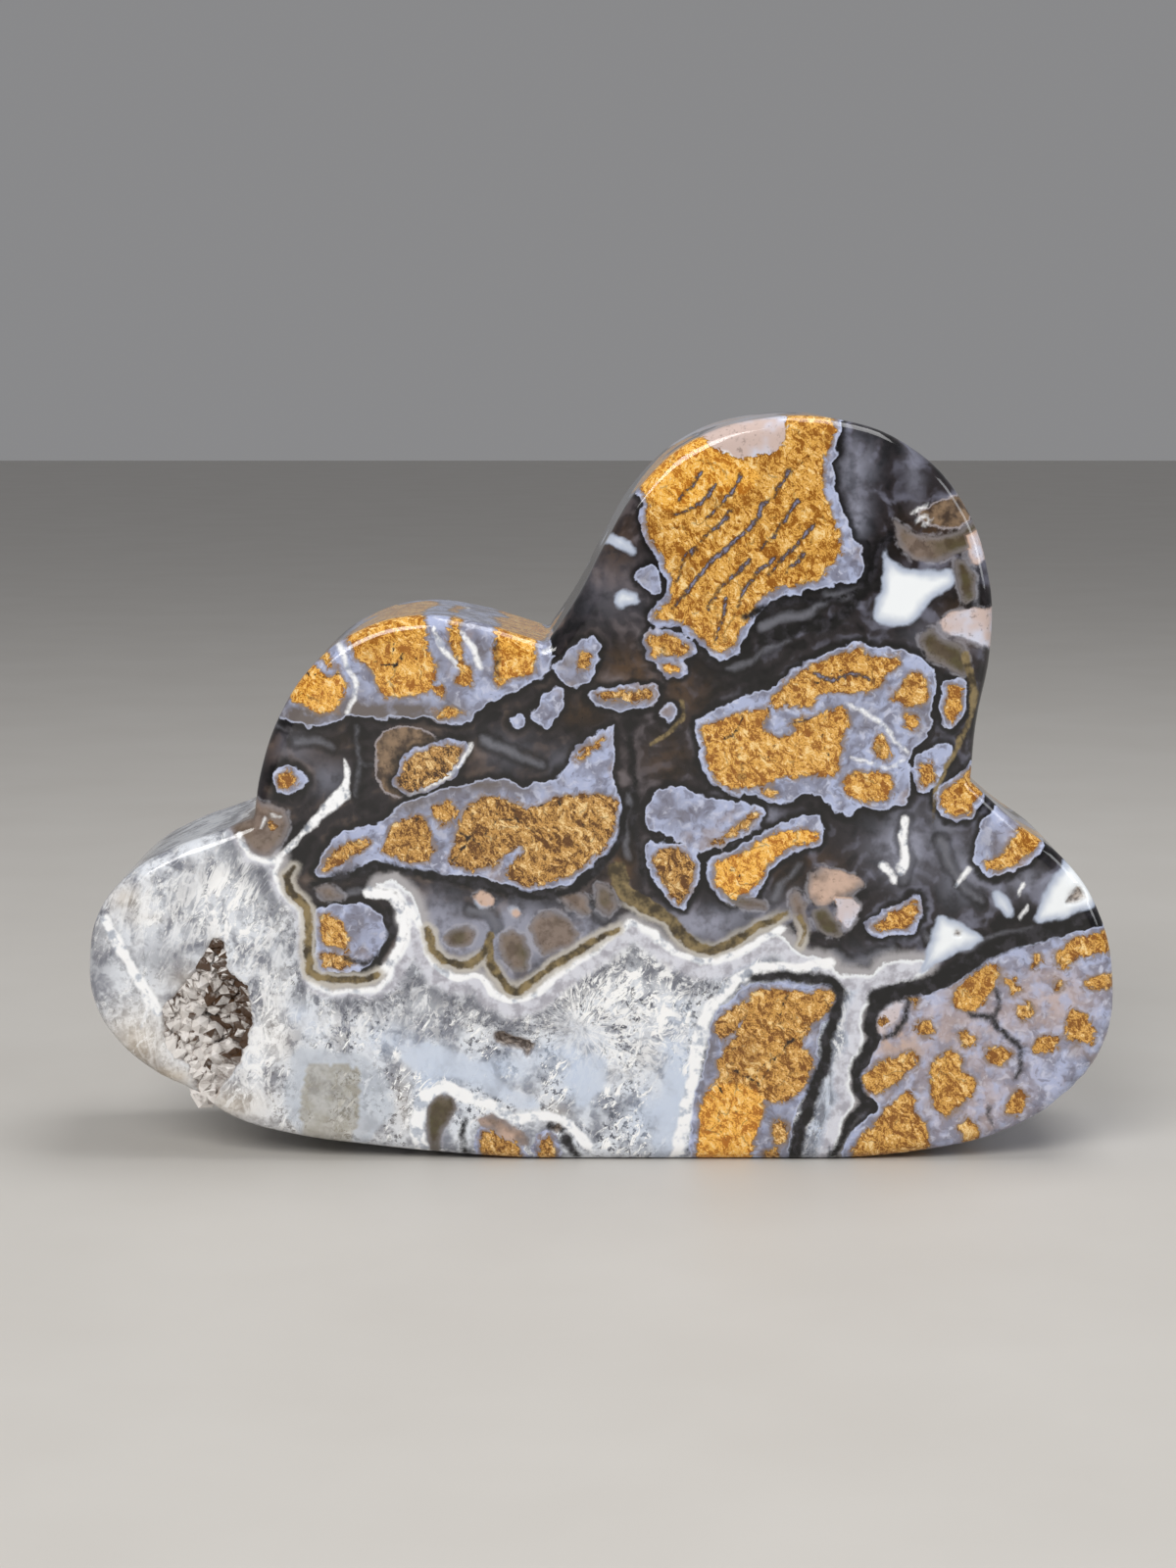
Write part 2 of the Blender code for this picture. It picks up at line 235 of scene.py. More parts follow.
# Other clasts, from olive (0) through brown-grey and pinkish beige to lavender white (1).
PEBBLES = marks("""
0.2: 196 443,203 439,216 432,234 433,250 439,249 429,238 419,222 413,209 416,199 426;
0.35: 126 184,134 192,140 180,142 160,139 149,133 154,132 170;
0.25: 84 194,96 186,110 184,116 176,100 176,86 182;
0.35: -246 248,-247 226,-239 215,-226 214,-218 222,-213 234,-216 248,-230 254;
0.6: 141 201,150 207,160 203,176 200,179 194,173 188,165 184,148 177,141 186;
0.95: 160 184,170 187,176 180,175 169,169 162,163 169;
0.1: 143 176,154 179,163 169,166 158,152 158,146 166;
0.9: 58 497,76 486,94 481,112 483,126 492,129 513,95 514,70 510;
0.9: 228 374,236 380,248 382,263 384,264 354,252 358,244 364,232 366;
0.05: 212 362,224 372,230 362,244 359,250 346,248 336,234 342,222 349;
0.85: 244 432,252 430,260 416,252 412,246 420;
0.15: 236 414,244 418,252 404,252 388,244 385,240 398;
0.2: -110 156,-104 163,-92 166,-85 161,-89 152,-102 149;
0.2: -69 159,-60 163,-52 158,-48 146,-50 135,-58 131,-66 139,-70 150;
0.36: -51 164,-44 173,-32 177,-22 170,-14 159,-18 152,-30 147,-40 144,-46 152;
0.72: -88 186,-82 191,-74 185,-75 179,-82 178;
0.76: -64 175,-58 180,-55 173,-60 170;
0.3: -32 190,-20 192,-10 186,-6 174,-16 172,-26 180;
0.25: -4 196,8 190,12 178,4 172,-4 180;
0.08: -122 28,-121 42,-112 49,-102 46,-98 38,-104 30,-110 20,-114 10,-120 14;
0.55: -86 30,-76 35,-64 28,-52 20,-49 10,-62 14,-76 22,-84 24;
0.95: 187 90,189 103,205 118,208 112,203 99,194 90;
0.3: -198 192,-186 194,-174 186,-186 182
""")
# Lines, each with its width at the start and at the end in millimetres.
DARK_LINES = marks("""
0.5 0.55: -199 194,-181 199,-155 207,-128 203,-102 197,-67 189,-49 186,-21 189,0 206,13 224,17 246;
0.5 0.3: -146 176,-144 160,-150 146,-162 139,-176 142;
1 1.3: 360 178,339 172,307 162,282 155,262 146,238 130,210 120,189 116;
1 0.55: 196 116,187 109,184 98,187 85,180 73,175 63,176 50,184 41,173 31,168 20,160 3;
0.6 0.95: 103 129,121 131,136 129,154 129,162 125,164 116,160 102,155 88,155 74,149 58,145 48,143 36,136 22,
  134 2;
0.3 0.4: 270 121,273 109,269 100,253 103;
0.45 0.3: 268 100,278 89,288 82,289 68,285 58;
0.3 0.15: 266 37,269 29,273 22;
0.4 0.35: 211 115,209 101,201 89,188 85;
0.25 0.2: -72 360,-70 350,-71 340,-68 334;
0.3 0.45: -94 29,-97 18,-93 4;
0.5 0.4: -35 24,-27 22;
0.8 0.6: -25 15,-17 4;
0.5 0.2: 19 295,21 277,24 256,22 234,26 214,30 194;
0.45 0.3: 96 378,114 385,134 388,154 388,172 394,181 410,179 428;
0.9 0.6: 110 362,130 369,154 371,169 384,179 400,184 419,194 432
""")
# White veins. The three short strokes on the brown clast at about x 21 to 22 and z 44 to 45 are painted
# glints.
WHITE_LINES = marks("""
0.25 0.3: -246 229,-242 214,-230 210,-218 214,-207 226,-197 236;
0.4 1: -197 236,-190 244,-182 250,-176 257;
0.6 0.12: -176 257,-173 266,-175 280;
0.14 0.06: -232 234,-230 240,-224 243,-219 240;
0.15 0.1: 209 448,219 454;
0.15 0.1: 211 442,219 446;
0.15 0.1: 216 439,222 443;
0.3 0.15: 251 204,246 198,242 193;
0.4 0.6: 207 240,205 228,207 216,205 204;
0.22 0.22: -242 214,-230 211,-218 212,-222 204,-221 194,-215 184,-206 177,-204 163,-202 138,-199 124,
  -186 120,-156 120,-148 125,-143 138,-132 156,-132 174,-138 189,-150 192;
0.4 0.4: -132 179,-125 168,-121 156,-118 143,-108 132,-98 129,-89 131,-82 130,-74 118,-62 112,-50 115,
  -40 122,-30 132,-10 144,10 160,21 169,41 155,53 145,69 140,83 142,103 152,123 164;
0.8 0.7: 52 2,57 30,62 54,66 84,72 106,92 128,114 137,136 135,156 139;
0.7 0.6: -340 170,-328 146,-315 124,-305 106;
0.2 0.1: -316 126,-312 108,-316 94;
0.6 0.5: -160 189,-144 187,-136 174,-137 154,-146 137,-156 130;
0.9 0.5: -124 6,-128 26,-124 44,-110 54,-94 46,-76 40,-60 29,-44 33,-26 30,-6 8;
0.2 0.15: 77.5 489,93 482,124 469;
0.2 0.1: 288 194,285 186;
0.25 0.12: 287 172,291 179;
0.2 0.15: -89 290,-99 273,-114 263,-132 256;
0.3 0.2: -179 362,-173 346,-166 334,-167 322,-173 313;
0.25 0.2: -114 370,-108 356,-99 345,-90 340;
0.3 0.2: -94 366,-86 354,-82 342;
0.5 0.3: 192 208,198 202,200 196;
0.16 0.16: 168 318,180 312,190 304,194 299,202 290,209 284;
0.16 0.12: 170 282,182 278,196 274,206 280;
0.2 0.15: -34 356,-42 352,-46 346
""")
OLIVE_LINES = marks("""
0.3 0.7: -210 206,-216 198,-212 188,-203 180;
0.55 0.5: -201 178,-201 135,-195 128,-162 127,-154 131;
0.5 0.6: -119 162,-116 149,-108 140,-94 138,-82 144,-76 158;
0.6 0.5: -77 150,-74 136,-66 123,-58 119,-50 124,-42 131,-30 139,-14 149,10 163;
1.2 0.4: 10 204,16 188,32 178,46 170,56 158,65 151,76 148,88 153,98 160,126 174;
0.5 0.2: 246 352,253 327,251 307,238 283,227 259,226 238;
0.35 0.3: 34 291,46 299,56 309,54 320;
0.35 0.25: 136 172,139 162,137 152
""")
# Thick soft folds in the smoky matrix.
FOLDS = marks("""
0.9 0.6: 159 145,170 138,184 143,199 149;
0.3 0.25: -167 302,-165 280,-167 256;
0.2 0.2: -164 276,-154 276;
0.5 0.3: -229 296,-224 304,-210 300;
0.8 0.5: -80 293,-60 284,-40 276;
0.9 0.7: 108 370,122 377,138 378,149 386;
0.9 0.6: 152 393,166 391,176 398,180 412;
0.5 0.4: 86 342,100 346,112 356,126 362;
0.7 0.5: 246 414,252 398,252 384;
0.6 0.4: -208 292,-194 294,-182 288;
0.5 0.5: 18 212,16 234,19 256;
0.6 0.4: 118 184,126 198,136 208;
0.5 0.4: 208 240,204 224,210 210,206 196;
0.7 0.4: 232 224,238 206,248 192,260 182;
0.5 0.4: 222 158,246 147,270 158,294 164;
0.6 0.5: -90 176,-76 174,-72 164;
0.6 0.4: -22 182,-8 180,2 170;
0.5 0.4: -184 186,-166 190,-150 188
""")
# The blue-grey cracks that cross the ochre, most of all in the large clast near the top.
BLUE_CRACKS = marks("""
0.29 0.14: 109 454,103 441,89 427,76 417,62 400,48 383;
0.19 0.07: 126 476,117 462,108 449;
0.19 0.07: 132 456,122 443,116 432,106 422;
0.21 0.09: 143 439,133 428,122 417,113 406;
0.19 0.07: 93 472,86 460,78 451,69 443;
0.19 0.07: 88 449,79 439,68 429,59 416;
0.21 0.09: 99 416,90 406,80 397,71 382;
0.19 0.07: 116 417,106 408,97 397,92 384;
0.16 0.07: 136 421,129 413,124 406;
0.16 0.07: 66 476,60 464,52 456;
0.16 0.07: 61 424,54 414,50 401;
0.19 0.09: 84 389,81 374,77 363;
0.16 0.07: 76 466,70 457,59 449,49 446;
0.27 0.14: 114 314,124 304,138 306,150 316;
0.19 0.14: 144 339,156 334,170 339,184 334
""")
BROWN_CRACKS = marks("""
0.3 0.12: -101 210,-93 222,-85 231;
0.25 0.1: -97 230,-86 224,-78 217;
0.3 0.12: -96 250,-90 244,-87 236;
0.25 0.1: -66 256,-60 248,-59 238;
0.2 0.1: -50 249,-36 251,-26 254;
0.2 0.1: -154 346,-140 344,-134 352,-124 349,-118 340;
0.18 0.1: -204 339,-188 336,-176 338;
0.2 0.1: 90 64,100 60,106 56,114 52,115 42;
0.2 0.1: 106 56,110 68,122 74,130 86,140 89;
0.2 0.08: 97 310,89 296,96 286,86 276;
0.16 0.06: 89 296,77 289;
0.16 0.06: 122 293,113 283,120 272;
0.14 0.05: 152 310,149 294,156 276;
0.16 0.06: 136 337,146 332,163 342,174 336;
0.16 0.08: -73 252,-70 240,-80 230,-84 216;
0.16 0.06: -70 240,-52 236,-46 224,-50 210;
0.14 0.06: -30 253,-26 240,-13 236,-9 222;
0.14 0.06: -49 246,-40 232,-26 226;
0.14 0.06: -139 369,-143 350,-137 337,-144 326;
0.14 0.06: -126 240,-132 228,-124 216;
0.16 0.06: 86 208,93 198,99 204,106 214;
0.16 0.06: 128 119,121 102,128 84,117 66,108 52;
0.14 0.05: 128 84,143 86;
0.14 0.05: 81 54,87 36,81 22,89 6;
0.14 0.05: 87 36,102 32;
0.12 0.05: 140 504,139 488,132 476;
0.12 0.05: 42 474,52 468,62 472
""")

# Soft clouds of colour: (x, z, radius along x, radius along z, amount), in millimetres. The first three
# colour the quartz, BEIGE the quartz and the agate, SMOKE and UMBER the matrix, and DUSK the agate.
MILK = [
    (-2, 11.8, 3.6, 1.6, 0.9), (2.5, 13.2, 3.2, 1.7, 1), (1.5, 8.6, 3.8, 3, 0.7),
    (-24.5, 17, 2.6, 3.6, 0.75), (-30, 17.5, 4.5, 2.6, 0.6), (-17.8, 9.5, 3.4, 1.8, 0.5),
    (-9, 9.6, 4, 1.6, 0.35), (-24, 6, 2.2, 2.6, 0.6), (-31, 9, 2.2, 2.6, 0.4), (-23, 10, 1.6, 3.6, 0.7),
    (4.4, 10.6, 1.6, 2.8, 0.7), (-12, 11.2, 1.6, 1.4, 0.5), (16.4, 9, 0.9, 4, 0.8),
    (-14.5, 16.6, 0.9, 2.2, 1), (-26, 19.6, 1.6, 2.2, 0.5),
]
BLUE = [
    (17.4, 11.4, 0.8, 2, 1), (17, 8, 0.9, 2.2, 0.9), (16.2, 5, 1, 2.2, 0.9), (15.2, 1.6, 1, 2, 0.8),
    (-11.5, 5.6, 1.6, 2.2, 1), (-7.2, 6.4, 2.4, 1.2, 0.8), (-1.4, 6, 1.5, 2.2, 1),
    (-14.4, 8.4, 2, 1.1, 0.6), (5.2, 6.2, 1, 4.6, 0.9), (3.4, 3.4, 1.8, 2, 0.7), (15.5, 10.6, 1, 2.6, 0.6),
    (-3.4, 7.6, 1.6, 1, 0.5), (-20.5, 10.2, 1.4, 1.2, 0.5), (9.4, 13.6, 2.6, 0.8, 0.8),
]
GREY = [
    (-28.6, 18.8, 0.9, 2.2, 0.6), (-27.6, 16.2, 0.9, 1, 0.6), (-29.6, 13.6, 1.6, 1, 0.5),
    (-24, 19.4, 1.2, 0.8, 0.4), (-8.8, 10.8, 3.6, 1.2, 0.8), (-13.2, 9.8, 2.2, 1, 0.6),
    (-34.6, 15, 1.1, 2.6, 1), (-30.2, 14.6, 1.5, 1.2, 0.55), (-25.2, 20.4, 1.4, 1.2, 0.5),
    (-22.8, 13, 1, 2.4, 0.35), (-28.6, 18.6, 1.2, 0.9, 0.4),
]
BEIGE = [
    (-32.6, 18.4, 1.2, 0.9, 0.7), (-31.2, 17, 1.4, 0.5, 0.4), (24, 9, 5, 3, 0.5), (31, 11.5, 3, 2.4, 0.6),
    (26, 4, 4, 2.4, 0.4), (20, 8.4, 2, 1, 0.6), (28.4, 21.6, 1, 2, 0.4), (-32, 8.2, 2.6, 2.6, 0.9),
    (-25.6, 4, 3, 1.4, 0.8), (-22.4, 9, 1.2, 2.2, 0.45), (-28.2, 12.8, 1.8, 1, 0.5),
    (-19, 2.2, 3.6, 1, 0.45), (-29.6, 5.9, 1.6, 0.8, 0.9), (-13.5, 4.4, 0.9, 2.2, 0.5),
    (-3, 3.4, 1, 0.9, 0.5),
]
SMOKE = [
    (-11.2, 14.6, 1, 0.8, 0.6), (-6.4, 13, 1, 1, 0.6), (-2.6, 15.6, 2, 0.8, 0.6), (5.4, 16.8, 1.4, 1, 0.5),
    (10.2, 17.4, 1.6, 0.7, 0.5), (18.4, 14.4, 1.6, 0.8, 0.35), (20.6, 22, 0.9, 2.4, 0.8),
    (-9.4, 15.4, 2.8, 1.6, 1), (-5, 15.4, 3.2, 2, 0.9), (-11.4, 17.2, 1.6, 1.6, 0.8),
    (-1, 16.6, 1.8, 1, 0.6), (7.4, 16.6, 2, 1, 1), (17, 44, 0.7, 2, 0.6), (21, 47.6, 0.6, 2, 0.5),
    (23.4, 24.4, 1, 2, 0.6), (17, 47.8, 1.2, 1.8, 0.85), (17.2, 44.6, 0.9, 1, 0.5),
    (-20.8, 28.8, 1.6, 1.2, 0.4), (-6.6, 28.6, 2, 1.2, 0.25), (4.6, 44.4, 0.8, 1.4, 0.4),
    (0.8, 39.8, 2, 2.2, 0.35), (20.5, 22, 2.2, 1.8, 0.7), (24.8, 20.2, 1.6, 1.8, 0.8),
    (-6.4, 17, 2.4, 1.2, 0.7), (23, 36.4, 1.8, 1, 0.5), (-2.4, 27.8, 1.4, 1, 0.3), (29, 19.6, 1.2, 1, 0.7),
    (-18.6, 26.8, 1.2, 1.2, 0.45), (12.4, 18.2, 1.4, 1, 0.5), (32.6, 16.6, 1.4, 0.5, 0.3),
]
UMBER = [
    (-1.6, 31.4, 1.8, 1, 0.5), (2, 34.2, 2, 1.4, 0.8), (5.6, 32.6, 1.6, 1.6, 0.6), (1, 42, 1.4, 3, 0.5),
    (1.2, 20.6, 0.9, 1.6, 1.2), (-9.4, 28, 1.6, 1.2, 0.35), (24, 36.6, 1.2, 2, 0.6),
    (22.6, 43.4, 2.2, 1.6, 0.6), (-22.6, 29.2, 0.8, 1.6, 0.4), (4.4, 28, 1.6, 1.4, 0.5),
    (14.6, 20.8, 2, 1.2, 0.4), (12.4, 19.4, 1, 1.6, 0.4), (-19, 28.6, 2, 1.2, 0.3),
]
DUSK = [
    (7, 8, 0.9, 3, 0.8), (9.4, 12, 2, 0.6, 0.5), (15.2, 9, 0.7, 3, 0.6), (12.4, 2, 1, 2, 0.8),
    (-16.2, 16.2, 1.5, 1.8, 0.35), (-10.8, 23, 0.8, 1.4, 0.3), (-20, 21, 1, 1, 0.5),
    (-14, 31.2, 5.5, 0.9, 1.3), (-20.5, 30.9, 1.8, 0.8, 1.2), (-16.6, 32.6, 0.8, 1.6, 0.5),
    (-8, 35.2, 1, 1.6, 0.6), (-11, 35, 0.8, 1.8, 0.5), (-14, 25, 4, 0.9, 0.9), (-8, 26.2, 4, 0.7, 1),
    (-18, 21, 2, 1.2, 0.6), (17.6, 31, 1.2, 1.2, 0.4), (21.6, 30.6, 1, 1.6, 0.45),
    (5.4, 24, 1.6, 1.4, 0.35), (26.6, 22.4, 1.6, 1.2, 0.4), (-2, 34.4, 1.2, 1.4, 0.7),
    (1.4, 31.9, 2.2, 0.6, 0.7), (2.9, 40.2, 0.8, 0.8, 0.5),
]
# The needles in the quartz spread from here.
FIBRE_CENTRE = (-1.5, 9.5)

# The open hollow and the small pits, each with its depth and the slope of its wall.
HOLLOWS = marks("""
4.3 2.6: -263 124,-257 133,-250 128,-242 122,-245 116,-241 110,-241 104,-239 96,-243 91,-243 83,-247 77,
  -248 70,-254 63,-262 52,-269 42,-273 52,-272 70,-267 90,-269 108;
2.6 0.9: -266 158,-258 155,-257 135,-250 128,-242 122,-241 105,-239 96,-244 86,-248 70,-257 60,-263 50,
  -267 36,-276 39,-281 52,-285 68,-294 72,-300 82,-302 92,-303 105,-298 114,-292 119,-288 126,-280 132,
  -275 142,-270 152;
1.5 1.9: -75 90,-69 92,-60 88,-51 86,-45 82,-48 76,-52 73,-55 79,-64 80,-72 83;
0.8 1.6: 316 180,321 188,327 194,331 189,330 182,323 181;
0.5 2: 241 162,246 162,247 158,242 158;
0.6 1.8: -35 23,-31 27,-27 25,-29 20,-33 20
""")


def srgb(red, green, blue):
    """A colour given as 0 to 255 values, as the linear one that shaders take."""
    linear = [
        c / 12.92 if c <= 0.04045 else ((c + 0.055) / 1.055) ** 2.4
        for c in (red / 255, green / 255, blue / 255)
    ]
    return (*linear, 1.0)


def softened(points, closed):
    """The outline with its corners cut twice, which rounds them a little."""
    for _ in range(2):
        after = np.roll(points, -1, axis=0)
        cut = np.stack([0.86 * points + 0.14 * after, 0.14 * points + 0.86 * after], axis=1)
        if closed:
            points = cut.reshape(-1, 2)
        else:
            points = np.vstack([points[:1], cut[:-1].reshape(-1, 2), points[-1:]])
    return points


def nearest_on(points, line, closed):
    """For each point: the distance to the line, how far along it that is (0 to 1), and the foot."""
    starts = line if closed else line[:-1]
    ends = np.roll(line, -1, axis=0) if closed else line[1:]
    lengths = np.linalg.norm(ends - starts, axis=1)
    before = np.concatenate([[0.0], np.cumsum(lengths)])
    best = np.full(len(points), 1e9)
    along = np.zeros(len(points))
    foot = np.zeros((len(points), 2))
    for start, end, length, run in zip(starts, ends, lengths, before):
        step = end - start
        t = np.clip(((points - start) @ step) / max(length * length, 1e-12), 0.0, 1.0)
        at = start + t[:, None] * step
        distance = np.linalg.norm(points - at, axis=1)
        closer = distance < best
        best = np.where(closer, distance, best)
        along = np.where(closer, (run + t * length) / before[-1], along)
        foot = np.where(closer[:, None], at, foot)
    return best, along, foot


def inside(points, outline):
    odd = np.zeros(len(points), bool)
    for (x0, z0), (x1, z1) in zip(outline, np.roll(outline, -1, axis=0)):
        if z0 == z1:
            continue
        spans = (z0 > points[:, 1]) != (z1 > points[:, 1])
        odd ^= spans & (points[:, 0] < (x1 - x0) * (points[:, 1] - z0) / (z1 - z0) + x0)
    return odd


def near(points, outline, reach):
    low = outline.min(axis=0) - reach
    high = outline.max(axis=0) + reach
    return np.flatnonzero(((points > low) & (points < high)).all(axis=1))


def area_depth(points, outline):
    """Distance inside the outline, negative outside it and -FAR at the most."""
    depth = np.full(len(points), -FAR)
    some = near(points, outline, FAR)
    distance = nearest_on(points[some], outline, True)[0]
    depth[some] = np.where(inside(points[some], outline), distance, -distance)
    return np.maximum(depth, -FAR)


def line_depth(points, line, first, last):
    depth = np.full(len(points), -FAR)
    some = near(points, line, FAR)
    distance, along, _ = nearest_on(points[some], line, False)
    depth[some] = (first + (last - first) * along) / 2 - distance
    return np.maximum(depth, -FAR)


def ramp(values, start, end):
    """0 up to the start and 1 from the end on, which may be below it."""
    return np.clip((values - start) / (end - start), 0, 1)


def stone_outline():
    """The slab's outline read from the solid halfway through its thickness, a loop of (x, z)."""
    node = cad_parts["polished_stone"]
    spots = [node.matrix_world @ vert.co / MM for vert in node.data.vertices]
    ways = {}
    for face in node.data.polygons:
        corners = [spots[index] for index in face.vertices]
        crossed = []
        for a, b in zip(corners, corners[1:] + corners[:1]):
            if (a.y > SECTION_Y) != (b.y > SECTION_Y):
                front, back = sorted((a, b), key=lambda corner: corner.y)
                p = front.lerp(back, (SECTION_Y - front.y) / (back.y - front.y))
                crossed.append((round(p.x, 3), round(p.z, 3)))
        if len(crossed) == 2 and crossed[0] != crossed[1]:
            ways.setdefault(crossed[0], set()).add(crossed[1])
            ways.setdefault(crossed[1], set()).add(crossed[0])
    loop = [min(ways, key=lambda key: (key[1], key[0]))]
    seen = set(loop)
    while True:
        onward = [key for key in ways[loop[-1]] if key not in seen]
        if not onward:
            break
        seen.add(onward[0])
        loop.append(onward[0])
    spaced = loop[:1]
    for point in loop[1:]:
        if math.dist(point, spaced[-1]) > 0.25:
            spaced.append(point)
    return np.array(spaced)


def resampled(loop, spacing):
    """A closed smooth curve through the loop's points, at even spacing."""
    fine = []
    for p0, p1, p2, p3 in zip(np.roll(loop, 1, 0), loop, np.roll(loop, -1, 0), np.roll(loop, -2, 0)):
        for t in (0.0, 0.2, 0.4, 0.6, 0.8):
            a = 2 * p1 + (p2 - p0) * t
            b = (2 * p0 - 5 * p1 + 4 * p2 - p3) * t * t
            c = (3 * p1 - p0 - 3 * p2 + p3) * t**3
            fine.append((a + b + c) / 2)
    fine = np.array(fine)
    closed = np.vstack([fine, fine[:1]])
    run = np.concatenate([[0.0], np.cumsum(np.linalg.norm(np.diff(closed, axis=0), axis=1))])
    count = round(run[-1] / spacing)
    at = np.linspace(0.0, run[-1], count, endpoint=False)
    return np.stack([np.interp(at, run, closed[:, 0]), np.interp(at, run, closed[:, 1])], axis=1)


def outward_normals(loop):
    along = np.roll(loop, -1, axis=0) - np.roll(loop, 1, axis=0)
    normals = np.stack([along[:, 1], -along[:, 0]], axis=1)
    normals /= np.linalg.norm(normals, axis=1)[:, None]
    x, z = loop.T
    area = np.sum(x * np.roll(z, -1) - z * np.roll(x, -1)) / 2
    return normals if area > 0 else -normals


class Slab:
    """The stone's surface: two flat sheets, the rounded edges and the rim, as points and faces."""

    def __init__(self):
        self.loop = resampled(stone_outline(), RIM_STEP)
        self.normals = outward_normals(self.loop)
        self.points = []
        self.faces = []

    def add(self, points):
        first = len(self.points)
        self.points.extend(points)
        return list(range(first, len(self.points)))

    def ring(self, inset, y):
        flat = self.loop - inset * self.normals
        return self.add([(x, y, z) for x, z in flat])

    def bridge(self, ring_a, ring_b):
        for i, a in enumerate(ring_a):
            j = (i + 1) % len(ring_a)
            self.faces.append((a, ring_a[j], ring_b[j], ring_b[i]))

    def sheet(self, ring, y, step, back):
        edge = self.loop - EDGE_RADIUS * self.normals
        low, high = edge.min(axis=0), edge.max(axis=0)
        rows = np.arange(low[1], high[1], step * math.sqrt(3) / 2)
        grid = [
            (x, z)
            for row, z in enumerate(rows)
            for x in np.arange(low[0] + (row % 2) * step / 2, high[0], step)
        ]
        grid = np.array(grid)
        keep = inside(grid, edge)
        grid = grid[keep]
        clear = nearest_on(grid, edge, True)[0] > 0.55 * step
        grid = grid[clear]
        count = len(edge)
        flat = [Vector(p) for p in np.vstack([edge, grid])]
        sides = [(i, (i + 1) % count) for i in range(count)]
        made = geometry.delaunay_2d_cdt(flat, sides, [], 1, 1e-6, True)
        places, triangles, sources = made[0], made[2], made[3]
        index = {}
        for new, (place, source) in enumerate(zip(places, sources)):
            if source and source[0] < count:
                index[new] = ring[source[0]]
            else:
                index[new] = self.add([(place.x, y, place.y)])[0]
        corners = np.array([tuple(place) for place in places])
        kept = inside(corners[np.array(triangles)].mean(axis=1), edge)
        for (a, b, c), is_stone in zip(triangles, kept):
            if is_stone:
                self.faces.append((index[a], index[b], index[c])[:: -1 if back else 1])

    def build(self):
        flat_y = HALF_THICKNESS
        arcs = [math.pi / 2 * i / EDGE_RINGS for i in range(EDGE_RINGS + 1)]
        front = [
            self.ring(EDGE_RADIUS * (1 - math.sin(a)), -flat_y + EDGE_RADIUS * (1 - math.cos(a)))
            for a in arcs
        ]
        rim = flat_y - EDGE_RADIUS
        sides = [self.ring(0.0, y) for y in np.linspace(-rim, rim, RIM_ROWS)[1:-1]]
        back = [
            self.ring(EDGE_RADIUS * (1 - math.sin(a)), flat_y - EDGE_RADIUS * (1 - math.cos(a)))
            for a in reversed(arcs)
        ]
        rings = front + sides + back
        for first, second in zip(rings, rings[1:]):
            self.bridge(first, second)
        self.sheet(front[0], -flat_y, FRONT_STEP, False)
        self.sheet(back[-1], flat_y, BACK_STEP, True)
        return np.array(self.points), self.faces


def grain(points, size, salt, octaves=2):
    """Smooth noise vectors of about -1 to 1 at the points, with features of this size."""
    turned = points / size + salt
    values = [noise.turbulence_vector(Vector(p), octaves, False) for p in turned]
    return np.array(values)


def hollow_depths(points):
    """How deep the hollow and the pits are behind the polished face, at each (x, z)."""
    deepest = np.zeros(len(points))
    for (depth, slope), outline in HOLLOWS:
        within = np.maximum(area_depth(points, softened(outline, True)), 0.0)
        deepest = np.maximum(deepest, depth * (1 - np.exp(-slope * within * 2 / depth)))
    return deepest


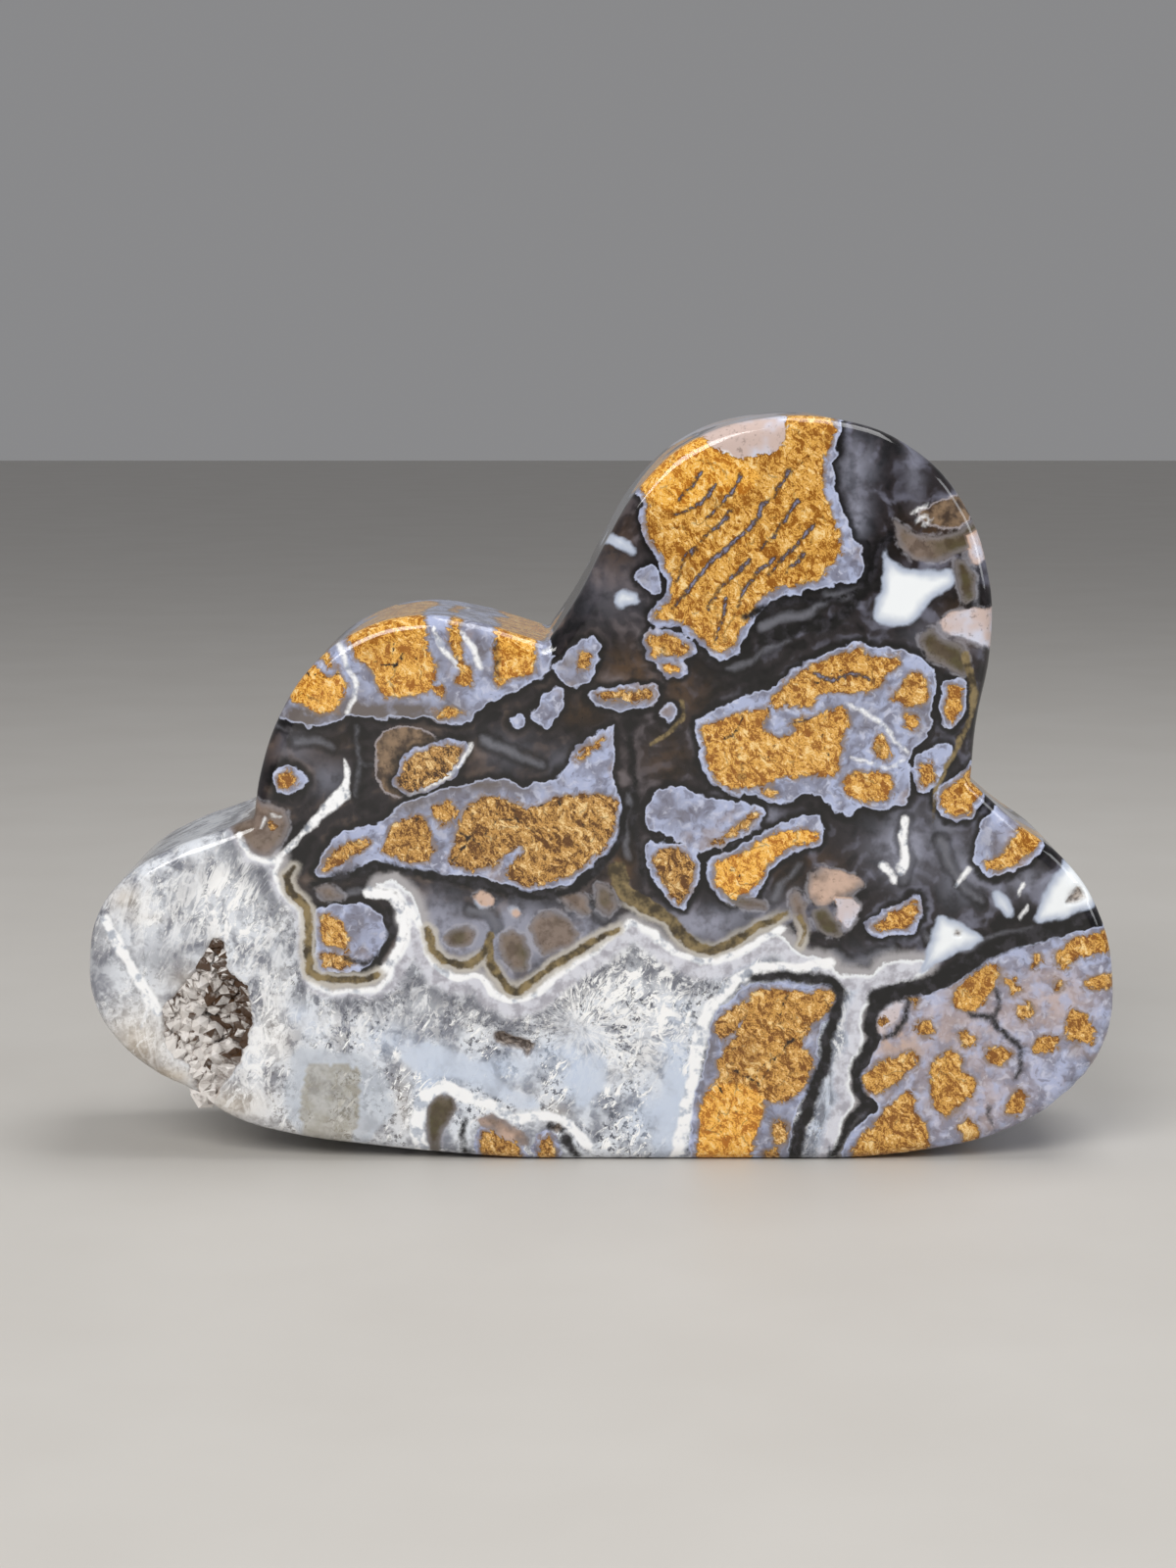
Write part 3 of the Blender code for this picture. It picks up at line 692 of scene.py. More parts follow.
class Markings:
    """Fields over the stone's surface that its material turns into clasts, rims, veins, painted glints and
    clouds.
    """

    def __init__(self, points, loop):
        on_front = points * [1, 0, 1] + [0, -HALF_THICKNESS, 0]
        spread = grain(points, DRIFT_SIZE, 3.7) - grain(on_front, DRIFT_SIZE, 3.7)
        behind = (points[:, 1] + HALF_THICKNESS) / (2 * HALF_THICKNESS)
        drift = DRIFT * np.sqrt(behind)[:, None] * spread
        ends = np.clip(1.6 * grain(points, LOSS_SIZE, 11.3), 0.0, 1.0)
        self.loss = LOSS * np.clip(3.0 * behind - 0.3, 0.0, 1.0)[:, None] * ends
        wobble = 0.16 * grain(points, 1.1, 9.1) + 0.1 * grain(points, 0.45, 5.3)
        self.at = (points + drift + wobble)[:, [0, 2]]
        self.loop = loop
        self.fields = {}

    def reaching(self, line):
        """The line with each of its points that is at the stone's edge carried past it."""
        distance, _, foot = nearest_on(line, self.loop, True)
        outside = ~inside(line, self.loop)
        away = np.where(outside[:, None], line - foot, foot - line)
        weak = np.linalg.norm(away, axis=1) < 1e-6
        away[weak] = (line - STONE_MIDDLE)[weak]
        away /= np.linalg.norm(away, axis=1)[:, None]
        return np.where((outside | (distance < EDGE_BAND))[:, None], line + CARRY_ON * away, line)

    def areas(self, name, items, loss=None):
        """Distance inside any of the outlines, and the tone of the last one there.

        A loss (0 to 2) picks the noise that makes them end inside the thickness.
        """
        best = np.full(len(self.at), -FAR)
        tone = np.full(len(self.at), 0.5)
        for numbers, outline in items:
            depth = area_depth(self.at, softened(self.reaching(outline), True))
            if numbers:
                tone = np.where((depth > best) | (depth > 0), numbers[0], tone)
            best = np.maximum(best, depth)
        self.fields[name] = best if loss is None else best - self.loss[:, loss]
        if items[0][0]:
            self.fields[name + "_tone"] = tone

    def lines(self, name, items):
        best = np.full(len(self.at), -FAR)
        for (first, last), line in items:
            best = np.maximum(best, line_depth(self.at, softened(line, False), first, last))
        self.fields[name] = best

    def clouds(self, name, items):
        total = np.zeros(len(self.at))
        for x, z, rx, rz, amount in items:
            far = ((self.at[:, 0] - x) / rx) ** 2 + ((self.at[:, 1] - z) / rz) ** 2
            total += amount * np.exp(-far)
        self.fields[name] = np.clip(total, 0.0, 1.2)

    def write(self, mesh):
        for name, values in self.fields.items():
            layer = mesh.attributes.new(name, "FLOAT", "POINT")
            layer.data.foreach_set("value", np.ascontiguousarray(values, np.float32))


class Graph:
    """A material's node tree, with short ways to add the nodes used here."""

    def __init__(self, name):
        self.material = bpy.data.materials.new(name)
        self.material.use_nodes = True
        self.tree = self.material.node_tree
        self.shader = self.tree.nodes["Principled BSDF"]

    def put(self, socket, value):
        """Link or set the value. A tuple is a colour as 0 to 255 values."""
        if isinstance(value, bpy.types.NodeSocket):
            self.tree.links.new(value, socket)
        else:
            socket.default_value = srgb(*value) if isinstance(value, tuple) else value

    def add(self, kind, **settings):
        node = self.tree.nodes.new(kind)
        for key, value in settings.items():
            setattr(node, key, value)
        return node

    def field(self, name):
        return self.add("ShaderNodeAttribute", attribute_name=name).outputs["Fac"]

    def place(self):
        """The point in the object's own millimetres."""
        coords = self.add("ShaderNodeTexCoord").outputs["Object"]
        scale = self.add("ShaderNodeVectorMath", operation="SCALE")
        self.put(scale.inputs[0], coords)
        scale.inputs["Scale"].default_value = 1 / MM
        return scale.outputs[0]

    def math(self, operation, a, b=0.0, c=0.0, clamp=False):
        node = self.add("ShaderNodeMath", operation=operation, use_clamp=clamp)
        for socket, value in zip(node.inputs, (a, b, c)):
            self.put(socket, value)
        return node.outputs[0]

    def plus(self, a, b):
        return self.math("ADD", a, b)

    def times(self, a, b):
        return self.math("MULTIPLY", a, b)

    def scaled(self, value, factor, offset):
        """The value times the factor, plus the offset."""
        return self.math("MULTIPLY_ADD", value, factor, offset)

    def axis(self, at, number):
        node = self.add("ShaderNodeSeparateXYZ")
        self.put(node.inputs[0], at)
        return node.outputs[number]

    def noise(self, at, scale, detail=3.0, rough=0.55, distortion=0.0, kind="FBM"):
        node = self.add("ShaderNodeTexNoise", noise_type=kind)
        self.put(node.inputs["Vector"], at)
        node.inputs["Scale"].default_value = scale
        node.inputs["Detail"].default_value = detail
        node.inputs["Roughness"].default_value = rough
        node.inputs["Distortion"].default_value = distortion
        return node.outputs["Fac"]

    def cells(self, at, scale, feature="DISTANCE_TO_EDGE"):
        node = self.add("ShaderNodeTexVoronoi", feature=feature)
        self.put(node.inputs["Vector"], at)
        node.inputs["Scale"].default_value = scale
        return node.outputs["Distance"]

    def leaning(self, at, degrees, stretch):
        """The place turned about the front's normal and squeezed across, so that noise makes strokes."""
        node = self.add("ShaderNodeMapping", vector_type="TEXTURE")
        self.put(node.inputs["Vector"], at)
        node.inputs["Rotation"].default_value = (0.0, math.radians(degrees), 0.0)
        node.inputs["Scale"].default_value = (1.0, 1.0, stretch)
        return node.outputs[0]

    def cell_value(self, at, scale):
        """A number from 0 to 1 that is even over each cell."""
        node = self.add("ShaderNodeTexVoronoi")
        self.put(node.inputs["Vector"], at)
        node.inputs["Scale"].default_value = scale
        return self.axis(node.outputs["Color"], 0)

    def span(self, value, low, high, to_low=0.0, to_high=1.0, smooth=True):
        node = self.add("ShaderNodeMapRange")
        node.interpolation_type = "SMOOTHSTEP" if smooth else "LINEAR"
        self.put(node.inputs["Value"], value)
        node.inputs["From Min"].default_value = low
        node.inputs["From Max"].default_value = high
        node.inputs["To Min"].default_value = to_low
        node.inputs["To Max"].default_value = to_high
        return node.outputs["Result"]

    def mix(self, a, b, share, blend="MIX"):
        node = self.add("ShaderNodeMix", data_type="RGBA", blend_type=blend)
        self.put(node.inputs[0], share)
        self.put(node.inputs[6], a)
        self.put(node.inputs[7], b)
        return node.outputs[2]

    def bump(self, height, distance, strength=1.0):
        node = self.add("ShaderNodeBump")
        self.put(node.inputs["Height"], height)
        node.inputs["Distance"].default_value = distance
        node.inputs["Strength"].default_value = strength
        return node.outputs["Normal"]


class StonePattern:
    """The colours of the stone, each as a function of the place and of the fields on its surface."""

    def __init__(self, g):
        self.g = g
        self.at = g.place()
        swirl = g.add("ShaderNodeTexNoise")
        g.put(swirl.inputs["Vector"], self.at)
        swirl.inputs["Scale"].default_value = 0.9
        swirl.inputs["Detail"].default_value = 2.0
        shift = g.add("ShaderNodeVectorMath", operation="MULTIPLY_ADD")
        g.put(shift.inputs[0], swirl.outputs["Color"])
        shift.inputs[1].default_value = (1.4, 1.4, 1.4)
        g.put(shift.inputs[2], self.at)
        self.bent = shift.outputs[0]
        self.coarse = g.noise(self.at, 0.35, 3.0)
        self.medium = g.noise(self.at, 1.1, 3.0)
        self.fine = g.noise(self.at, 3.2, 3.0, 0.6)
        self.grit = g.noise(self.at, 9.0, 2.0, 0.65)
        ragged = g.scaled(self.fine, 0.34, -0.17)
        self.wander = g.plus(ragged, g.scaled(self.grit, 0.18, -0.09))
        chips = g.scaled(g.cell_value(self.bent, 2.4), 0.26, -0.13)
        lobes = g.scaled(g.cells(self.bent, 1.15, "F1"), -0.34, 0.16)
        self.gold = g.plus(g.field("gold"), g.plus(self.wander, chips))
        waves = g.scaled(self.wander, 0.45, lobes)
        self.halo = g.plus(g.field("halo"), waves)
        self.rim = g.plus(g.field("gold"), waves)

    def edge(self, name, softness=0.05, offset=0.0):
        value = self.g.plus(self.g.field(name), self.g.plus(self.wander, offset))
        return self.g.span(value, -softness, softness)

    def matrix(self):
        """Smoky chalcedony between the clasts, banded along their edges."""
        g = self.g
        flow = g.noise(self.bent, 0.42, 2.5, 0.45, 0.6)
        wave = g.scaled(self.coarse, 9.0, g.times(self.halo, 5.5))
        bands = g.span(g.math("SINE", wave), -1.0, 1.0, 0.0, 0.1)
        level = g.plus(flow, bands)
        east = g.span(g.axis(self.at, 0), -6.0, 16.0)
        light = g.mix((78, 66, 60), (98, 98, 112), east)
        pale = g.mix((112, 98, 92), (142, 146, 164), east)
        colour = g.mix((13, 11, 13), (40, 35, 38), g.span(level, 0.4, 0.58))
        colour = g.mix(colour, light, g.span(level, 0.56, 0.74))
        colour = g.mix(colour, pale, g.span(level, 0.7, 0.88, 0.0, 0.8))
        smoke = g.times(g.field("smoke"), g.span(self.medium, 0.3, 0.6, 0.45, 1.0))
        colour = g.mix(colour, (146, 148, 164), smoke)
        umber = g.times(g.field("umber"), g.span(self.medium, 0.35, 0.6, 0.3, 0.9))
        colour = g.mix(colour, (92, 68, 44), umber)
        depth = g.scaled(self.wander, 0.6, g.field("fold"))
        colour = g.mix(colour, (10, 9, 10), g.span(depth, -0.5, -0.15, 0.0, 0.6))
        colour = g.mix(colour, (118, 119, 128), g.span(depth, -0.15, 0.4, 0.0, 0.8))
        shell = g.plus(g.field("brown"), self.wander)
        brown = g.mix((70, 56, 46), (140, 116, 92), g.span(self.medium, 0.35, 0.65))
        brown = g.mix(brown, (58, 46, 38), g.span(self.fine, 0.55, 0.7, 0.0, 0.5))
        colour = g.mix(colour, brown, g.span(shell, -0.12, 0.12))
        rim = g.span(g.math("ABSOLUTE", shell), 0.0, 0.14, 0.7, 0.0)
        colour = g.mix(colour, (176, 168, 172), rim)
        colour = g.mix(colour, (10, 9, 10), g.span(self.halo, -0.7, -0.12, 0.0, 0.85))
        collar = g.scaled(self.wander, 0.7, g.field("quartz"))
        return g.mix(colour, (180, 177, 180), g.span(collar, -0.95, -0.25, 0.0, 0.85))

    def pebbles(self, under):
        """The other clasts over this colour, each a little darker inside a pale edge."""
        g = self.g
        tone = g.plus(g.field("pebble_tone"), g.span(self.coarse, 0.35, 0.65, -0.1, 0.1))
        colour = g.mix((82, 74, 48), (132, 116, 106), g.span(tone, 0.05, 0.35))
        colour = g.mix(colour, (206, 176, 158), g.span(tone, 0.4, 0.66))
        colour = g.mix(colour, (212, 214, 230), g.span(tone, 0.72, 0.98))
        depth = g.scaled(self.wander, 0.7, g.field("pebble"))
        dull = g.span(tone, 0.75, 0.45)
        core = g.times(dull, g.span(self.medium, 0.42, 0.62, 0.0, 0.5))
        colour = g.mix(colour, (70, 54, 42), core)
        margin = g.times(dull, g.span(depth, 0.5, 0.05, 0.0, 0.7))
        colour = g.mix(colour, (132, 127, 130), margin)
        colour = g.mix(colour, (58, 46, 38), g.span(self.fine, 0.56, 0.72, 0.0, 0.4))
        lace = g.span(g.math("ABSOLUTE", g.plus(depth, 0.08)), 0.0, 0.2, 0.45, 0.0)
        under = g.mix(under, (172, 170, 178), g.times(lace, g.span(self.medium, 0.4, 0.55)))
        return g.mix(under, colour, g.span(depth, -0.1, 0.14))

    def quartz(self):
        """White quartz, milky in places, with needles that spread from one centre."""
        g = self.g
        x, y, z = (g.axis(self.at, i) for i in range(3))
        dx = g.math("SUBTRACT", x, FIBRE_CENTRE[0])
        dz = g.math("SUBTRACT", z, FIBRE_CENTRE[1])
        radius = g.math("SQRT", g.scaled(dx, dx, g.times(dz, dz)))
        rays_at = g.add("ShaderNodeCombineXYZ")
        g.put(rays_at.inputs[0], g.times(g.math("ARCTAN2", dz, dx), 7.0))
        g.put(rays_at.inputs[1], g.times(radius, 0.9))
        g.put(rays_at.inputs[2], g.times(y, 0.6))
        rays = g.noise(rays_at.outputs[0], 1.0, 4.0, 0.75, 0.8)
        sugar = g.noise(self.at, 2.6, 3.0, 0.75)
        veil = g.noise(self.bent, 0.55, 3.0, 0.6)
        crumbs = g.noise(g.leaning(self.at, 35.0, 2.2), 1.7, 4.0, 0.8, 1.0)
        colour = g.mix((134, 137, 148), (222, 226, 233), g.span(veil, 0.36, 0.58))
        calm = g.span(x, -27.0, -17.0, 0.4, 1.0)
        patchy = g.times(calm, g.span(self.coarse, 0.42, 0.56, 0.12, 1.0))
        colour = g.mix(colour, (76, 78, 88), g.times(g.span(sugar, 0.51, 0.6), patchy))
        ghosts = g.mix((164, 160, 148), (206, 216, 232), g.field("ghost_tone"))
        ghost_mask = g.span(g.scaled(self.wander, 0.5, g.field("ghost")), -0.15, 0.3)
        colour = g.mix(colour, (112, 113, 122), g.times(g.field("grey"), 0.7))
        colour = g.mix(colour, (206, 188, 160), g.times(g.field("beige"), 0.6))
        clouds = g.times(g.field("blue"), g.span(veil, 0.3, 0.5, 0.5, 0.9))
        colour = g.mix(colour, (196, 210, 232), clouds)
        needles = g.math("MAXIMUM", g.span(rays, 0.47, 0.56), g.span(crumbs, 0.5, 0.6))
        colour = g.mix(colour, (255, 255, 255), g.times(g.field("milk"), needles))
        colour = g.mix(colour, (255, 255, 255), g.times(g.span(crumbs, 0.55, 0.6), patchy))
        colour = g.mix(colour, ghosts, g.times(ghost_mask, g.span(self.medium, 0.3, 0.6, 0.9, 0.6)))
        depth = g.scaled(self.wander, 0.7, g.field("quartz"))
        inner = g.plus(depth, g.span(x, -16.0, -12.0, 0.7, 0.0))
        ring = g.times(g.span(inner, 0.9, 1.5), g.span(inner, 3.2, 1.6))
        colour = g.mix(colour, (104, 106, 116), g.times(ring, g.span(rays, 0.6, 0.45, 0.1, 0.75)))
        band = g.mix((172, 170, 180), (218, 219, 228), g.span(self.medium, 0.36, 0.6))
        colour = g.mix(colour, band, g.span(inner, 1.5, 0.8, 0.0, 0.95))
        return g.mix(colour, (244, 247, 250), g.span(depth, 0.36, 0.08, 0.0, 0.85))

    def agate(self):
        """Blue-grey agate, palest at its outer edge, with faint bands inside."""
        g = self.g
        patch = g.noise(self.bent, 0.7, 2.0, 0.5)
        cloud = g.noise(self.bent, 1.5, 3.0, 0.55)
        colour = g.mix((132, 134, 154), (176, 185, 216), g.span(patch, 0.38, 0.6))
        colour = g.mix(colour, (206, 210, 230), g.span(cloud, 0.52, 0.68, 0.0, 0.75))
        colour = g.mix(colour, (98, 96, 112), g.span(cloud, 0.46, 0.34, 0.0, 0.55))
        colour = g.mix(colour, (158, 138, 124), g.span(self.coarse, 0.56, 0.7, 0.0, 0.5))
        warm = g.times(g.field("beige"), g.span(self.medium, 0.35, 0.6, 0.4, 1.2))
        colour = g.mix(colour, (198, 172, 158), warm)
        dusk = g.times(g.field("dusk"), g.span(self.medium, 0.3, 0.6, 0.6, 1.0))
        colour = g.mix(colour, (108, 100, 98), dusk)
        pale = g.span(g.math("ABSOLUTE", g.math("SUBTRACT", self.halo, 0.06)), 0.0, 0.12, 0.6, 0.0)
        colour = g.mix(colour, (198, 207, 234), pale)
        seam = g.span(self.gold, -0.3, -0.04, 0.0, 0.75)
        return g.mix(colour, (138, 118, 102), seam)

    def ochre(self):
        """Ochre jasper from dark brown to bright orange, its own mottling mixed with painted crease shade
        and painted cream highlights that make it look crumpled.
        """
        g = self.g
        tone = g.field("gold_tone")
        along = g.leaning(self.bent, -38.0, 2.4)
        strokes = g.noise(along, 3.0, 3.0, 0.75, 0.6)
        flakes = g.cell_value(along, 4.0)
        level = g.scaled(strokes, 0.62, g.times(self.grit, 0.38))
        level = g.scaled(flakes, 0.13, level)
        level = g.plus(level, g.span(self.medium, 0.3, 0.7, -0.05, 0.05))
        low = g.mix((44, 30, 16), (182, 112, 26), tone)
        high = g.mix((184, 138, 78), (250, 190, 84), tone)
        # The strokes mix the jasper's own mottling with painted shade in its creases; the cream is a
        # painted highlight on its ridges.
        colour = g.mix(low, high, g.span(level, 0.48, 0.6))
        colour = g.mix(colour, (255, 226, 166), g.span(level, 0.62, 0.7, 0.0, 0.8))
        colour = g.mix(colour, (112, 68, 26), g.span(self.coarse, 0.56, 0.74, 0.0, 0.25))
        shards = g.cells(self.bent, 0.36)
        hair = g.times(g.span(shards, 0.035, 0.0), g.span(self.medium, 0.48, 0.6))
        colour = g.mix(colour, (46, 29, 16), g.times(hair, 0.5))
        colour = g.mix(colour, (66, 44, 26), g.span(self.gold, 0.16, 0.0, 0.0, 0.6))
        colour = g.mix(colour, (40, 26, 16), self.edge("brown_crack", 0.05, -0.02))
        colour = g.mix(colour, (60, 42, 30), self.edge("blue_crack", 0.08, 0.06))
        return g.mix(colour, (134, 132, 154), self.edge("blue_crack", 0.06, -0.03))


def stone_material():
    g = Graph("polished_breccia")
    pattern = StonePattern(g)
    quartz_mask = pattern.edge("quartz", 0.08)
    halo_mask = g.span(pattern.halo, -0.05, 0.05)
    agate_mask = g.math("MAXIMUM", halo_mask, g.span(pattern.rim, -0.45, -0.36))
    gold_mask = g.span(pattern.gold, -0.04, 0.04)
    colour = g.mix(pattern.matrix(), pattern.quartz(), quartz_mask)
    # The white patches grow paler towards their middles; in the large window at the top right that bright
    # white-blue is a painted reflection.
    window = g.mix((178, 188, 208), (246, 250, 253), g.span(g.field("white"), -0.05, 0.8))
    white_mask = g.span(g.scaled(pattern.wander, 0.4, g.field("white")), -0.18, 0.1)
    colour = g.mix(colour, window, white_mask)
    outline = g.times(g.span(pattern.rim, -0.95, -0.48), g.math("SUBTRACT", 0.85, quartz_mask))
    colour = g.mix(colour, (10, 9, 10), outline)
    colour = g.mix(colour, pattern.agate(), agate_mask)
    colour = pattern.pebbles(colour)
    # The white lines are drawn in this pale colour: veins, and on the brown clast near the top right three
    # painted glints.
    line_depth = g.scaled(pattern.wander, 0.45, g.field("white_line"))
    veil = g.times(g.span(line_depth, -0.16, 0.1), g.span(pattern.medium, 0.3, 0.55, 0.65, 1.0))
    veins_and_painted_glints = g.mix((178, 186, 200), (252, 253, 255), g.span(pattern.medium, 0.34, 0.5))
    colour = g.mix(colour, veins_and_painted_glints, veil)
    colour = g.mix(colour, pattern.ochre(), gold_mask)
    olive = g.mix((62, 52, 34), (140, 122, 84), g.span(pattern.medium, 0.35, 0.65))
    olive_depth = g.scaled(pattern.wander, 0.7, g.field("olive"))
    lace = g.times(g.span(olive_depth, -0.5, -0.08, 0.0, 0.85), g.span(g.field("quartz"), -2.0, -0.9))
    colour = g.mix(colour, (196, 190, 180), lace)
    colour = g.mix(colour, olive, g.span(olive_depth, -0.1, 0.1))
    ink = g.mix((8, 7, 9), (46, 44, 50), g.span(pattern.medium, 0.46, 0.66))
    colour = g.mix(colour, ink, pattern.edge("dark", 0.2, 0.02))
    druse = g.mix((92, 74, 60), (190, 176, 164), g.span(pattern.fine, 0.4, 0.65))
    colour = g.mix(colour, druse, g.times(g.field("open"), 0.9))

    g.put(g.shader.inputs["Base Color"], colour)
    rough = g.span(pattern.fine, 0.3, 0.7, 0.06, 0.11)
    rough = g.scaled(g.field("open"), 0.4, rough)
    rough = g.scaled(g.field("chipped"), 0.35, rough)
    g.put(g.shader.inputs["Roughness"], rough)
    g.shader.inputs["IOR"].default_value = 1.54
    g.shader.inputs["Subsurface Radius"].default_value = (1.0, 0.95, 0.9)
    g.shader.inputs["Subsurface Scale"].default_value = 0.0006
    pale_mask = g.math("MAXIMUM", quartz_mask, g.times(agate_mask, 0.35))
    g.put(g.shader.inputs["Subsurface Weight"], g.times(pale_mask, 0.3))
    ripples = g.noise(pattern.at, 1.1, 1.0)
    g.put(g.shader.inputs["Normal"], g.bump(ripples, 0.000012, 0.6))
    return g.material


def crystal_material():
    """Smoky to milky quartz points, see-through, with a painted shade and a random tone that vary from
    point to point and face to face.
    """
    g = Graph("smoky_quartz")
    at = g.place()
    cloud = g.noise(at, 1.6, 4.0)
    painted_shade_and_tone = g.field("painted_shade_and_tone")
    shade = g.plus(painted_shade_and_tone, g.span(cloud, 0.4, 0.7, -0.15, 0.25))
    # The colour runs from smoky brown on the painted shaded faces to near white on the painted lit ones,
    # with a random milky cloud.
    colour = g.mix((84, 61, 43), (255, 250, 246), g.span(shade, 0.14, 0.78))
    g.put(g.shader.inputs["Base Color"], colour)
    g.put(g.shader.inputs["Roughness"], g.span(cloud, 0.3, 0.7, 0.05, 0.2))
    g.shader.inputs["IOR"].default_value = 1.544
    g.shader.inputs["Transmission Weight"].default_value = 0.25
    g.put(g.shader.inputs["Normal"], g.bump(g.noise(at, 7.0, 2.0), 0.00005, 0.5))
    return g.material


def new_mesh(name, points, faces, material):
    mesh = bpy.data.meshes.new(name)
    mesh.from_pydata([tuple(p) for p in np.asarray(points) * MM], [], faces)
    mesh.materials.append(material)
    obj = bpy.data.objects.new(name, mesh)
    bpy.context.scene.collection.objects.link(obj)
    return obj


def make_stone():
    slab = Slab()
    points, faces = slab.build()
    flat = points[:, [0, 2]]
    deep = hollow_depths(flat)
    in_front = points[:, 1] < 0
    floor = -HALF_THICKNESS + deep
    x, y, z = points.T
    rough_low = ramp(z, 7.5, 5.5) * ramp(x, -25.5, -27.5)
    rough_right = ramp(x, 28.5, 30.5) * ramp(z, 10.5, 8.5)
    rim_share = ramp(y, -HALF_THICKNESS, -HALF_THICKNESS + 0.6)
    chipped = np.maximum(rough_low, 0.7 * rough_right) * rim_share
    opened = np.clip(deep / 0.35, 0, 1) * (in_front & (points[:, 1] < floor + 0.05))
    texture = points.copy()
    points[:, 1] = np.where(in_front, np.maximum(points[:, 1], floor), points[:, 1])
    jag = grain(points, 0.9, 2.2, 3)
    points[:, 1] += JAG_DEPTH * opened * np.abs(jag[:, 1])
    points[:, 0] += 0.4 * JAG_DEPTH * opened * jag[:, 0]
    middle = points[:, [0, 2]].mean(axis=0)
    inward = middle - points[:, [0, 2]]
    inward /= np.linalg.norm(inward, axis=1)[:, None]
    chip = CHIP_DEPTH * chipped * np.clip(grain(points, 1.3, 6.5, 3)[:, 2], 0, 1)
    points[:, 0] += chip * inward[:, 0]
    points[:, 2] += chip * inward[:, 1]

    stone = new_mesh("breccia_slab", points, faces, stone_material())
    pattern = Markings(texture, slab.loop)
    for name, items, loss in (
        ("gold", GOLD, 0),
        ("halo", HALO, 0),
        ("brown", BROWN_CLASTS, 1),
        ("pebble", PEBBLES, 2),
        ("quartz", QUARTZ, None),
        ("ghost", GHOSTS, None),
        ("white", WHITE, 1),
    ):
        pattern.areas(name, items, loss)
    for name, items in (
        ("dark", DARK_LINES),
        ("white_line", WHITE_LINES),
        ("olive", OLIVE_LINES),
        ("fold", FOLDS),
        ("blue_crack", BLUE_CRACKS),
        ("brown_crack", BROWN_CRACKS),
    ):
        pattern.lines(name, items)
    for name, items in (
        ("milk", MILK),
        ("blue", BLUE),
        ("grey", GREY),
        ("beige", BEIGE),
        ("smoke", SMOKE),
        ("umber", UMBER),
        ("dusk", DUSK),
    ):
        pattern.clouds(name, items)
    pattern.fields["open"] = opened
    pattern.fields["chipped"] = chipped
    pattern.write(stone.data)
    stone.data.shade_smooth()
    return stone


def crystal_points(root, direction, radius, length, spin):
    """The 13 corners of a six-sided point: six at its root, six at its shoulder and the tip."""
    turn = direction.to_track_quat("Z", "Y").to_matrix() @ Matrix.Rotation(spin, 3, "Z")
    corners = []
    for height, reach in ((0.0, radius), (length, 0.9 * radius)):
        for side in range(6):
            a = side * math.pi / 3
            corners.append(root + turn @ Vector((reach * math.cos(a), reach * math.sin(a), height)))
    corners.append(root + turn @ Vector((0.12 * radius, 0.0, length + radius * 1.1)))
    return corners


def make_crystals(stone):
    rng = random.Random(5)
    mesh = stone.data
    values = np.zeros(len(mesh.vertices), np.float32)
    mesh.attributes["open"].data.foreach_get("value", values)
    in_hollow = [
        face
        for face in mesh.polygons
        if face.center.x < -0.02 and min(values[corner] for corner in face.vertices) > 0.4
    ]
    rng.shuffle(in_hollow)
    taken = set()
    points = []
    sides = []
    painted_shades_and_tones = []
    for face in in_hollow:
        spot = face.center / MM
        cell = tuple(int(c // CRYSTAL_CELL) for c in spot)
        if cell in taken or rng.random() < CRYSTAL_GAPS:
            continue
        taken.add(cell)
        inward = Vector(face.normal)
        jitter = Vector([rng.uniform(-0.55, 0.55) for _ in range(3)])
        direction = (inward + Vector((-0.2, -0.5, 0.1)) + jitter).normalized()
        radius = rng.choice(CRYSTAL_RADII)
        depth = spot.y + HALF_THICKNESS
        length = min(radius * rng.uniform(0.7, 2.4), max(0.15, depth - radius * 0.6))
        first = len(points)
        root = spot - direction * radius * 0.4
        made = crystal_points(root, direction, radius, length, rng.uniform(0, 1))
        points.extend((p.x, max(p.y, -HALF_THICKNESS + 0.02), p.z) for p in made)
        # Painted shade: each point is painted paler at the lower left of the hollow and darker towards the
        # right and upwards, where the hollow lies in shadow, plus a random tone of its own.
        lit = 0.82 - 0.3 * (spot.x + 27.0) - 0.08 * max(spot.z - 9.0, 0.0)
        shade = min(max(lit, 0.12), 0.75) + rng.uniform(-0.25, 0.25)
        # Painted facet light: every face of a point is painted a little lighter or darker than its other
        # faces.
        painted_shades_and_tones.extend(min(max(shade + rng.uniform(-0.4, 0.4), 0.0), 1.0) for _ in range(13))
        for side in range(6):
            after = (side + 1) % 6
            sides.append((first + side, first + after, first + 6 + after, first + 6 + side))
            sides.append((first + 6 + side, first + 6 + after, first + 12))
        sides.append(tuple(first + side for side in reversed(range(6))))
    crystals = new_mesh("druse_points", points, sides, crystal_material())
    # The painted shade of each face, with its point's random tone, kept as a face value.
    layer = crystals.data.attributes.new("painted_shade_and_tone", "FLOAT", "FACE")
    layer.data.foreach_set("value", np.array(painted_shades_and_tones, np.float32))
    return crystals


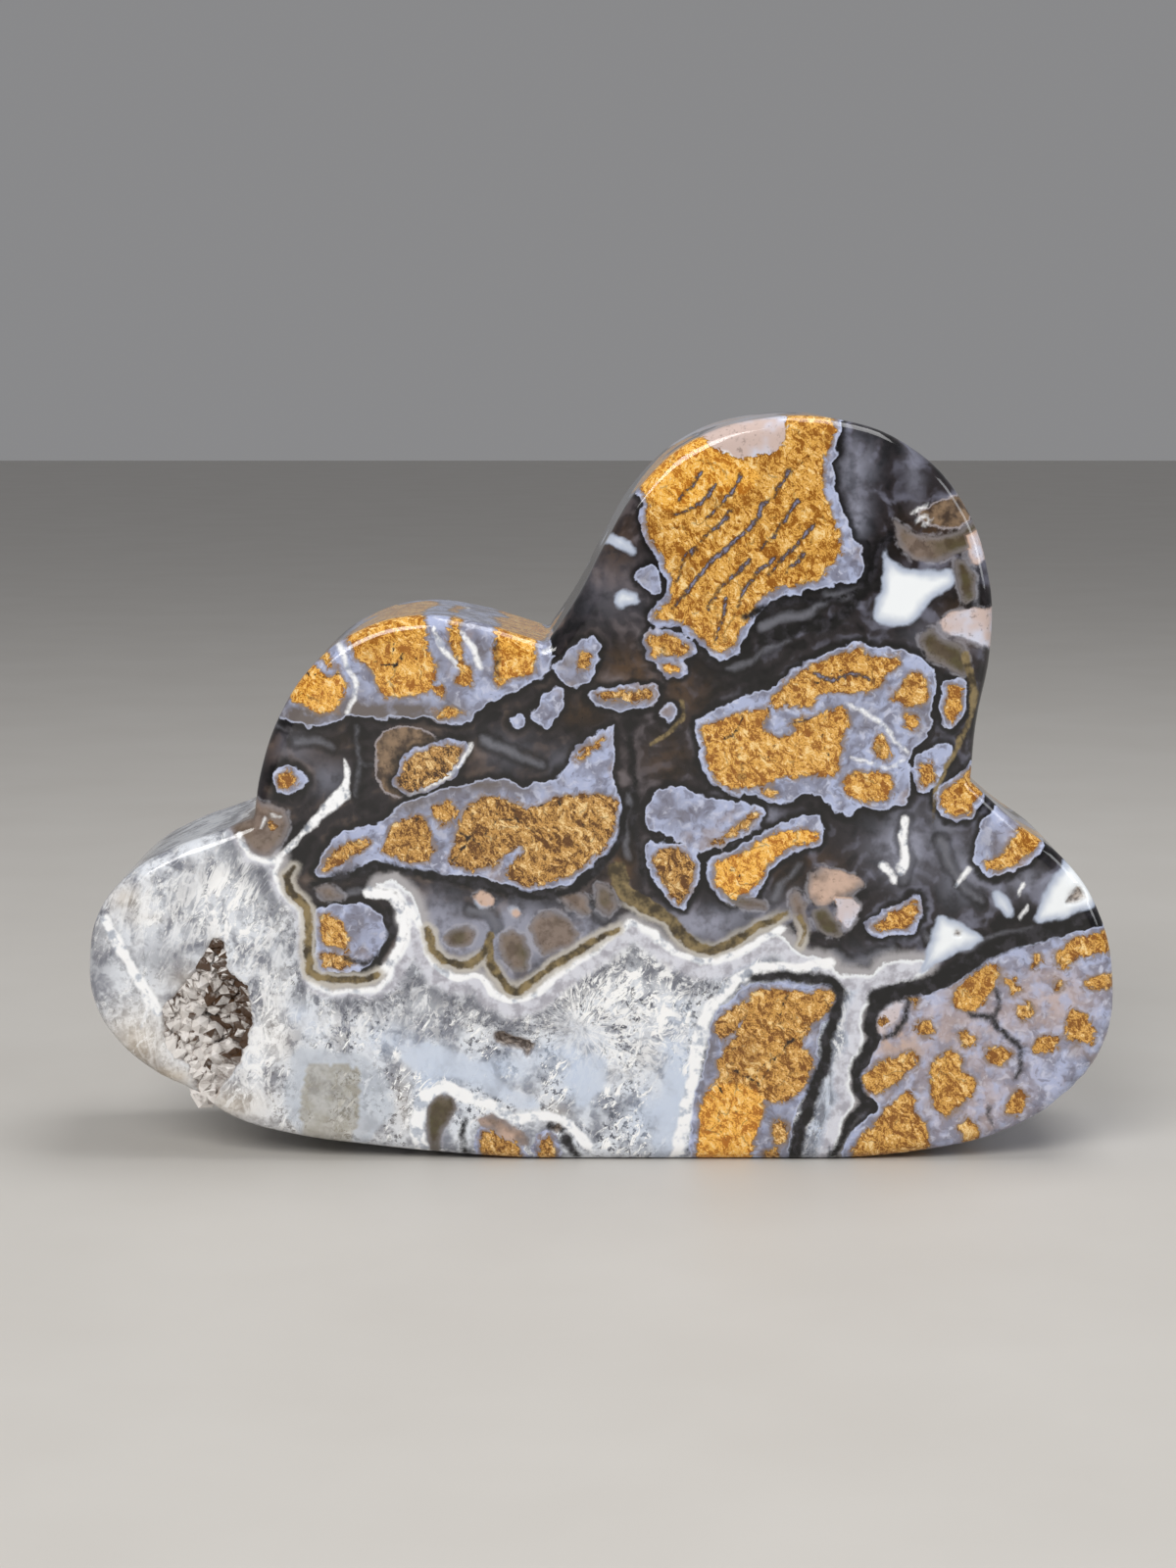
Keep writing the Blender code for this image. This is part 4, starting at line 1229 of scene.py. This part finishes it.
def area_light(name, place, aim, size, power, colour=(1.0, 1.0, 1.0)):
    light = bpy.data.lights.new(name, "AREA")
    light.shape = "RECTANGLE"
    light.size, light.size_y = size
    light.energy = power
    light.color = colour
    obj = bpy.data.objects.new(name, light)
    obj.location = place
    obj.rotation_euler = (Vector(aim) - Vector(place)).to_track_quat("-Z", "Y").to_euler()
    bpy.context.scene.collection.objects.link(obj)
    return obj


def make_stage():
    g = Graph("pale_floor")
    at = g.place()
    shade = g.mix((196, 192, 186), (206, 203, 198), g.noise(at, 0.05, 3.0))
    g.put(g.shader.inputs["Base Color"], shade)
    g.shader.inputs["Roughness"].default_value = 0.55
    bm = bmesh.new()
    bmesh.ops.create_grid(bm, x_segments=1, y_segments=1, size=1.5)
    mesh = bpy.data.meshes.new("floor")
    bm.to_mesh(mesh)
    bm.free()
    mesh.materials.append(g.material)
    floor = bpy.data.objects.new("floor", mesh)
    bpy.context.scene.collection.objects.link(floor)
    world = bpy.data.worlds.new("studio")
    world.use_nodes = True
    backdrop = world.node_tree.nodes["Background"]
    backdrop.inputs["Color"].default_value = srgb(188, 188, 190)
    backdrop.inputs["Strength"].default_value = 0.5
    bpy.context.scene.world = world
    area_light("key", (-0.15, -0.36, 0.30), (0.0, 0.0, 0.02), (0.25, 0.2), 1.5, (1.0, 0.985, 0.96))
    area_light("top", (0.10, 0.02, 0.35), (0.0, 0.0, 0.03), (0.22, 0.18), 0.5)
    area_light("side", (0.34, -0.12, 0.16), (0.0, 0.0, 0.03), (0.12, 0.2), 0.3, (0.94, 0.97, 1.0))


def make_camera():
    camera = bpy.data.cameras.new("camera")
    camera.sensor_fit = "VERTICAL"
    camera.sensor_height = 36.0
    camera.lens = CAMERA_LENS
    camera.clip_start = 0.01
    obj = bpy.data.objects.new("camera", camera)
    obj.location = CAMERA_PLACE
    obj.rotation_euler = (math.radians(90.0 - CAMERA_TILT), 0.0, 0.0)
    bpy.context.scene.collection.objects.link(obj)
    bpy.context.scene.camera = obj


noise.seed_set(NOISE_SEED)
stone = make_stone()
crystals = make_crystals(stone)
for piece, node, slot in (
    (stone, "polished_stone", "polished_breccia"),
    (crystals, "crystal_crust", "smoky_quartz"),
):
    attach(piece, "root")
    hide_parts(node)
make_stage()
make_camera()
bpy.context.scene.view_settings.view_transform = "Standard"
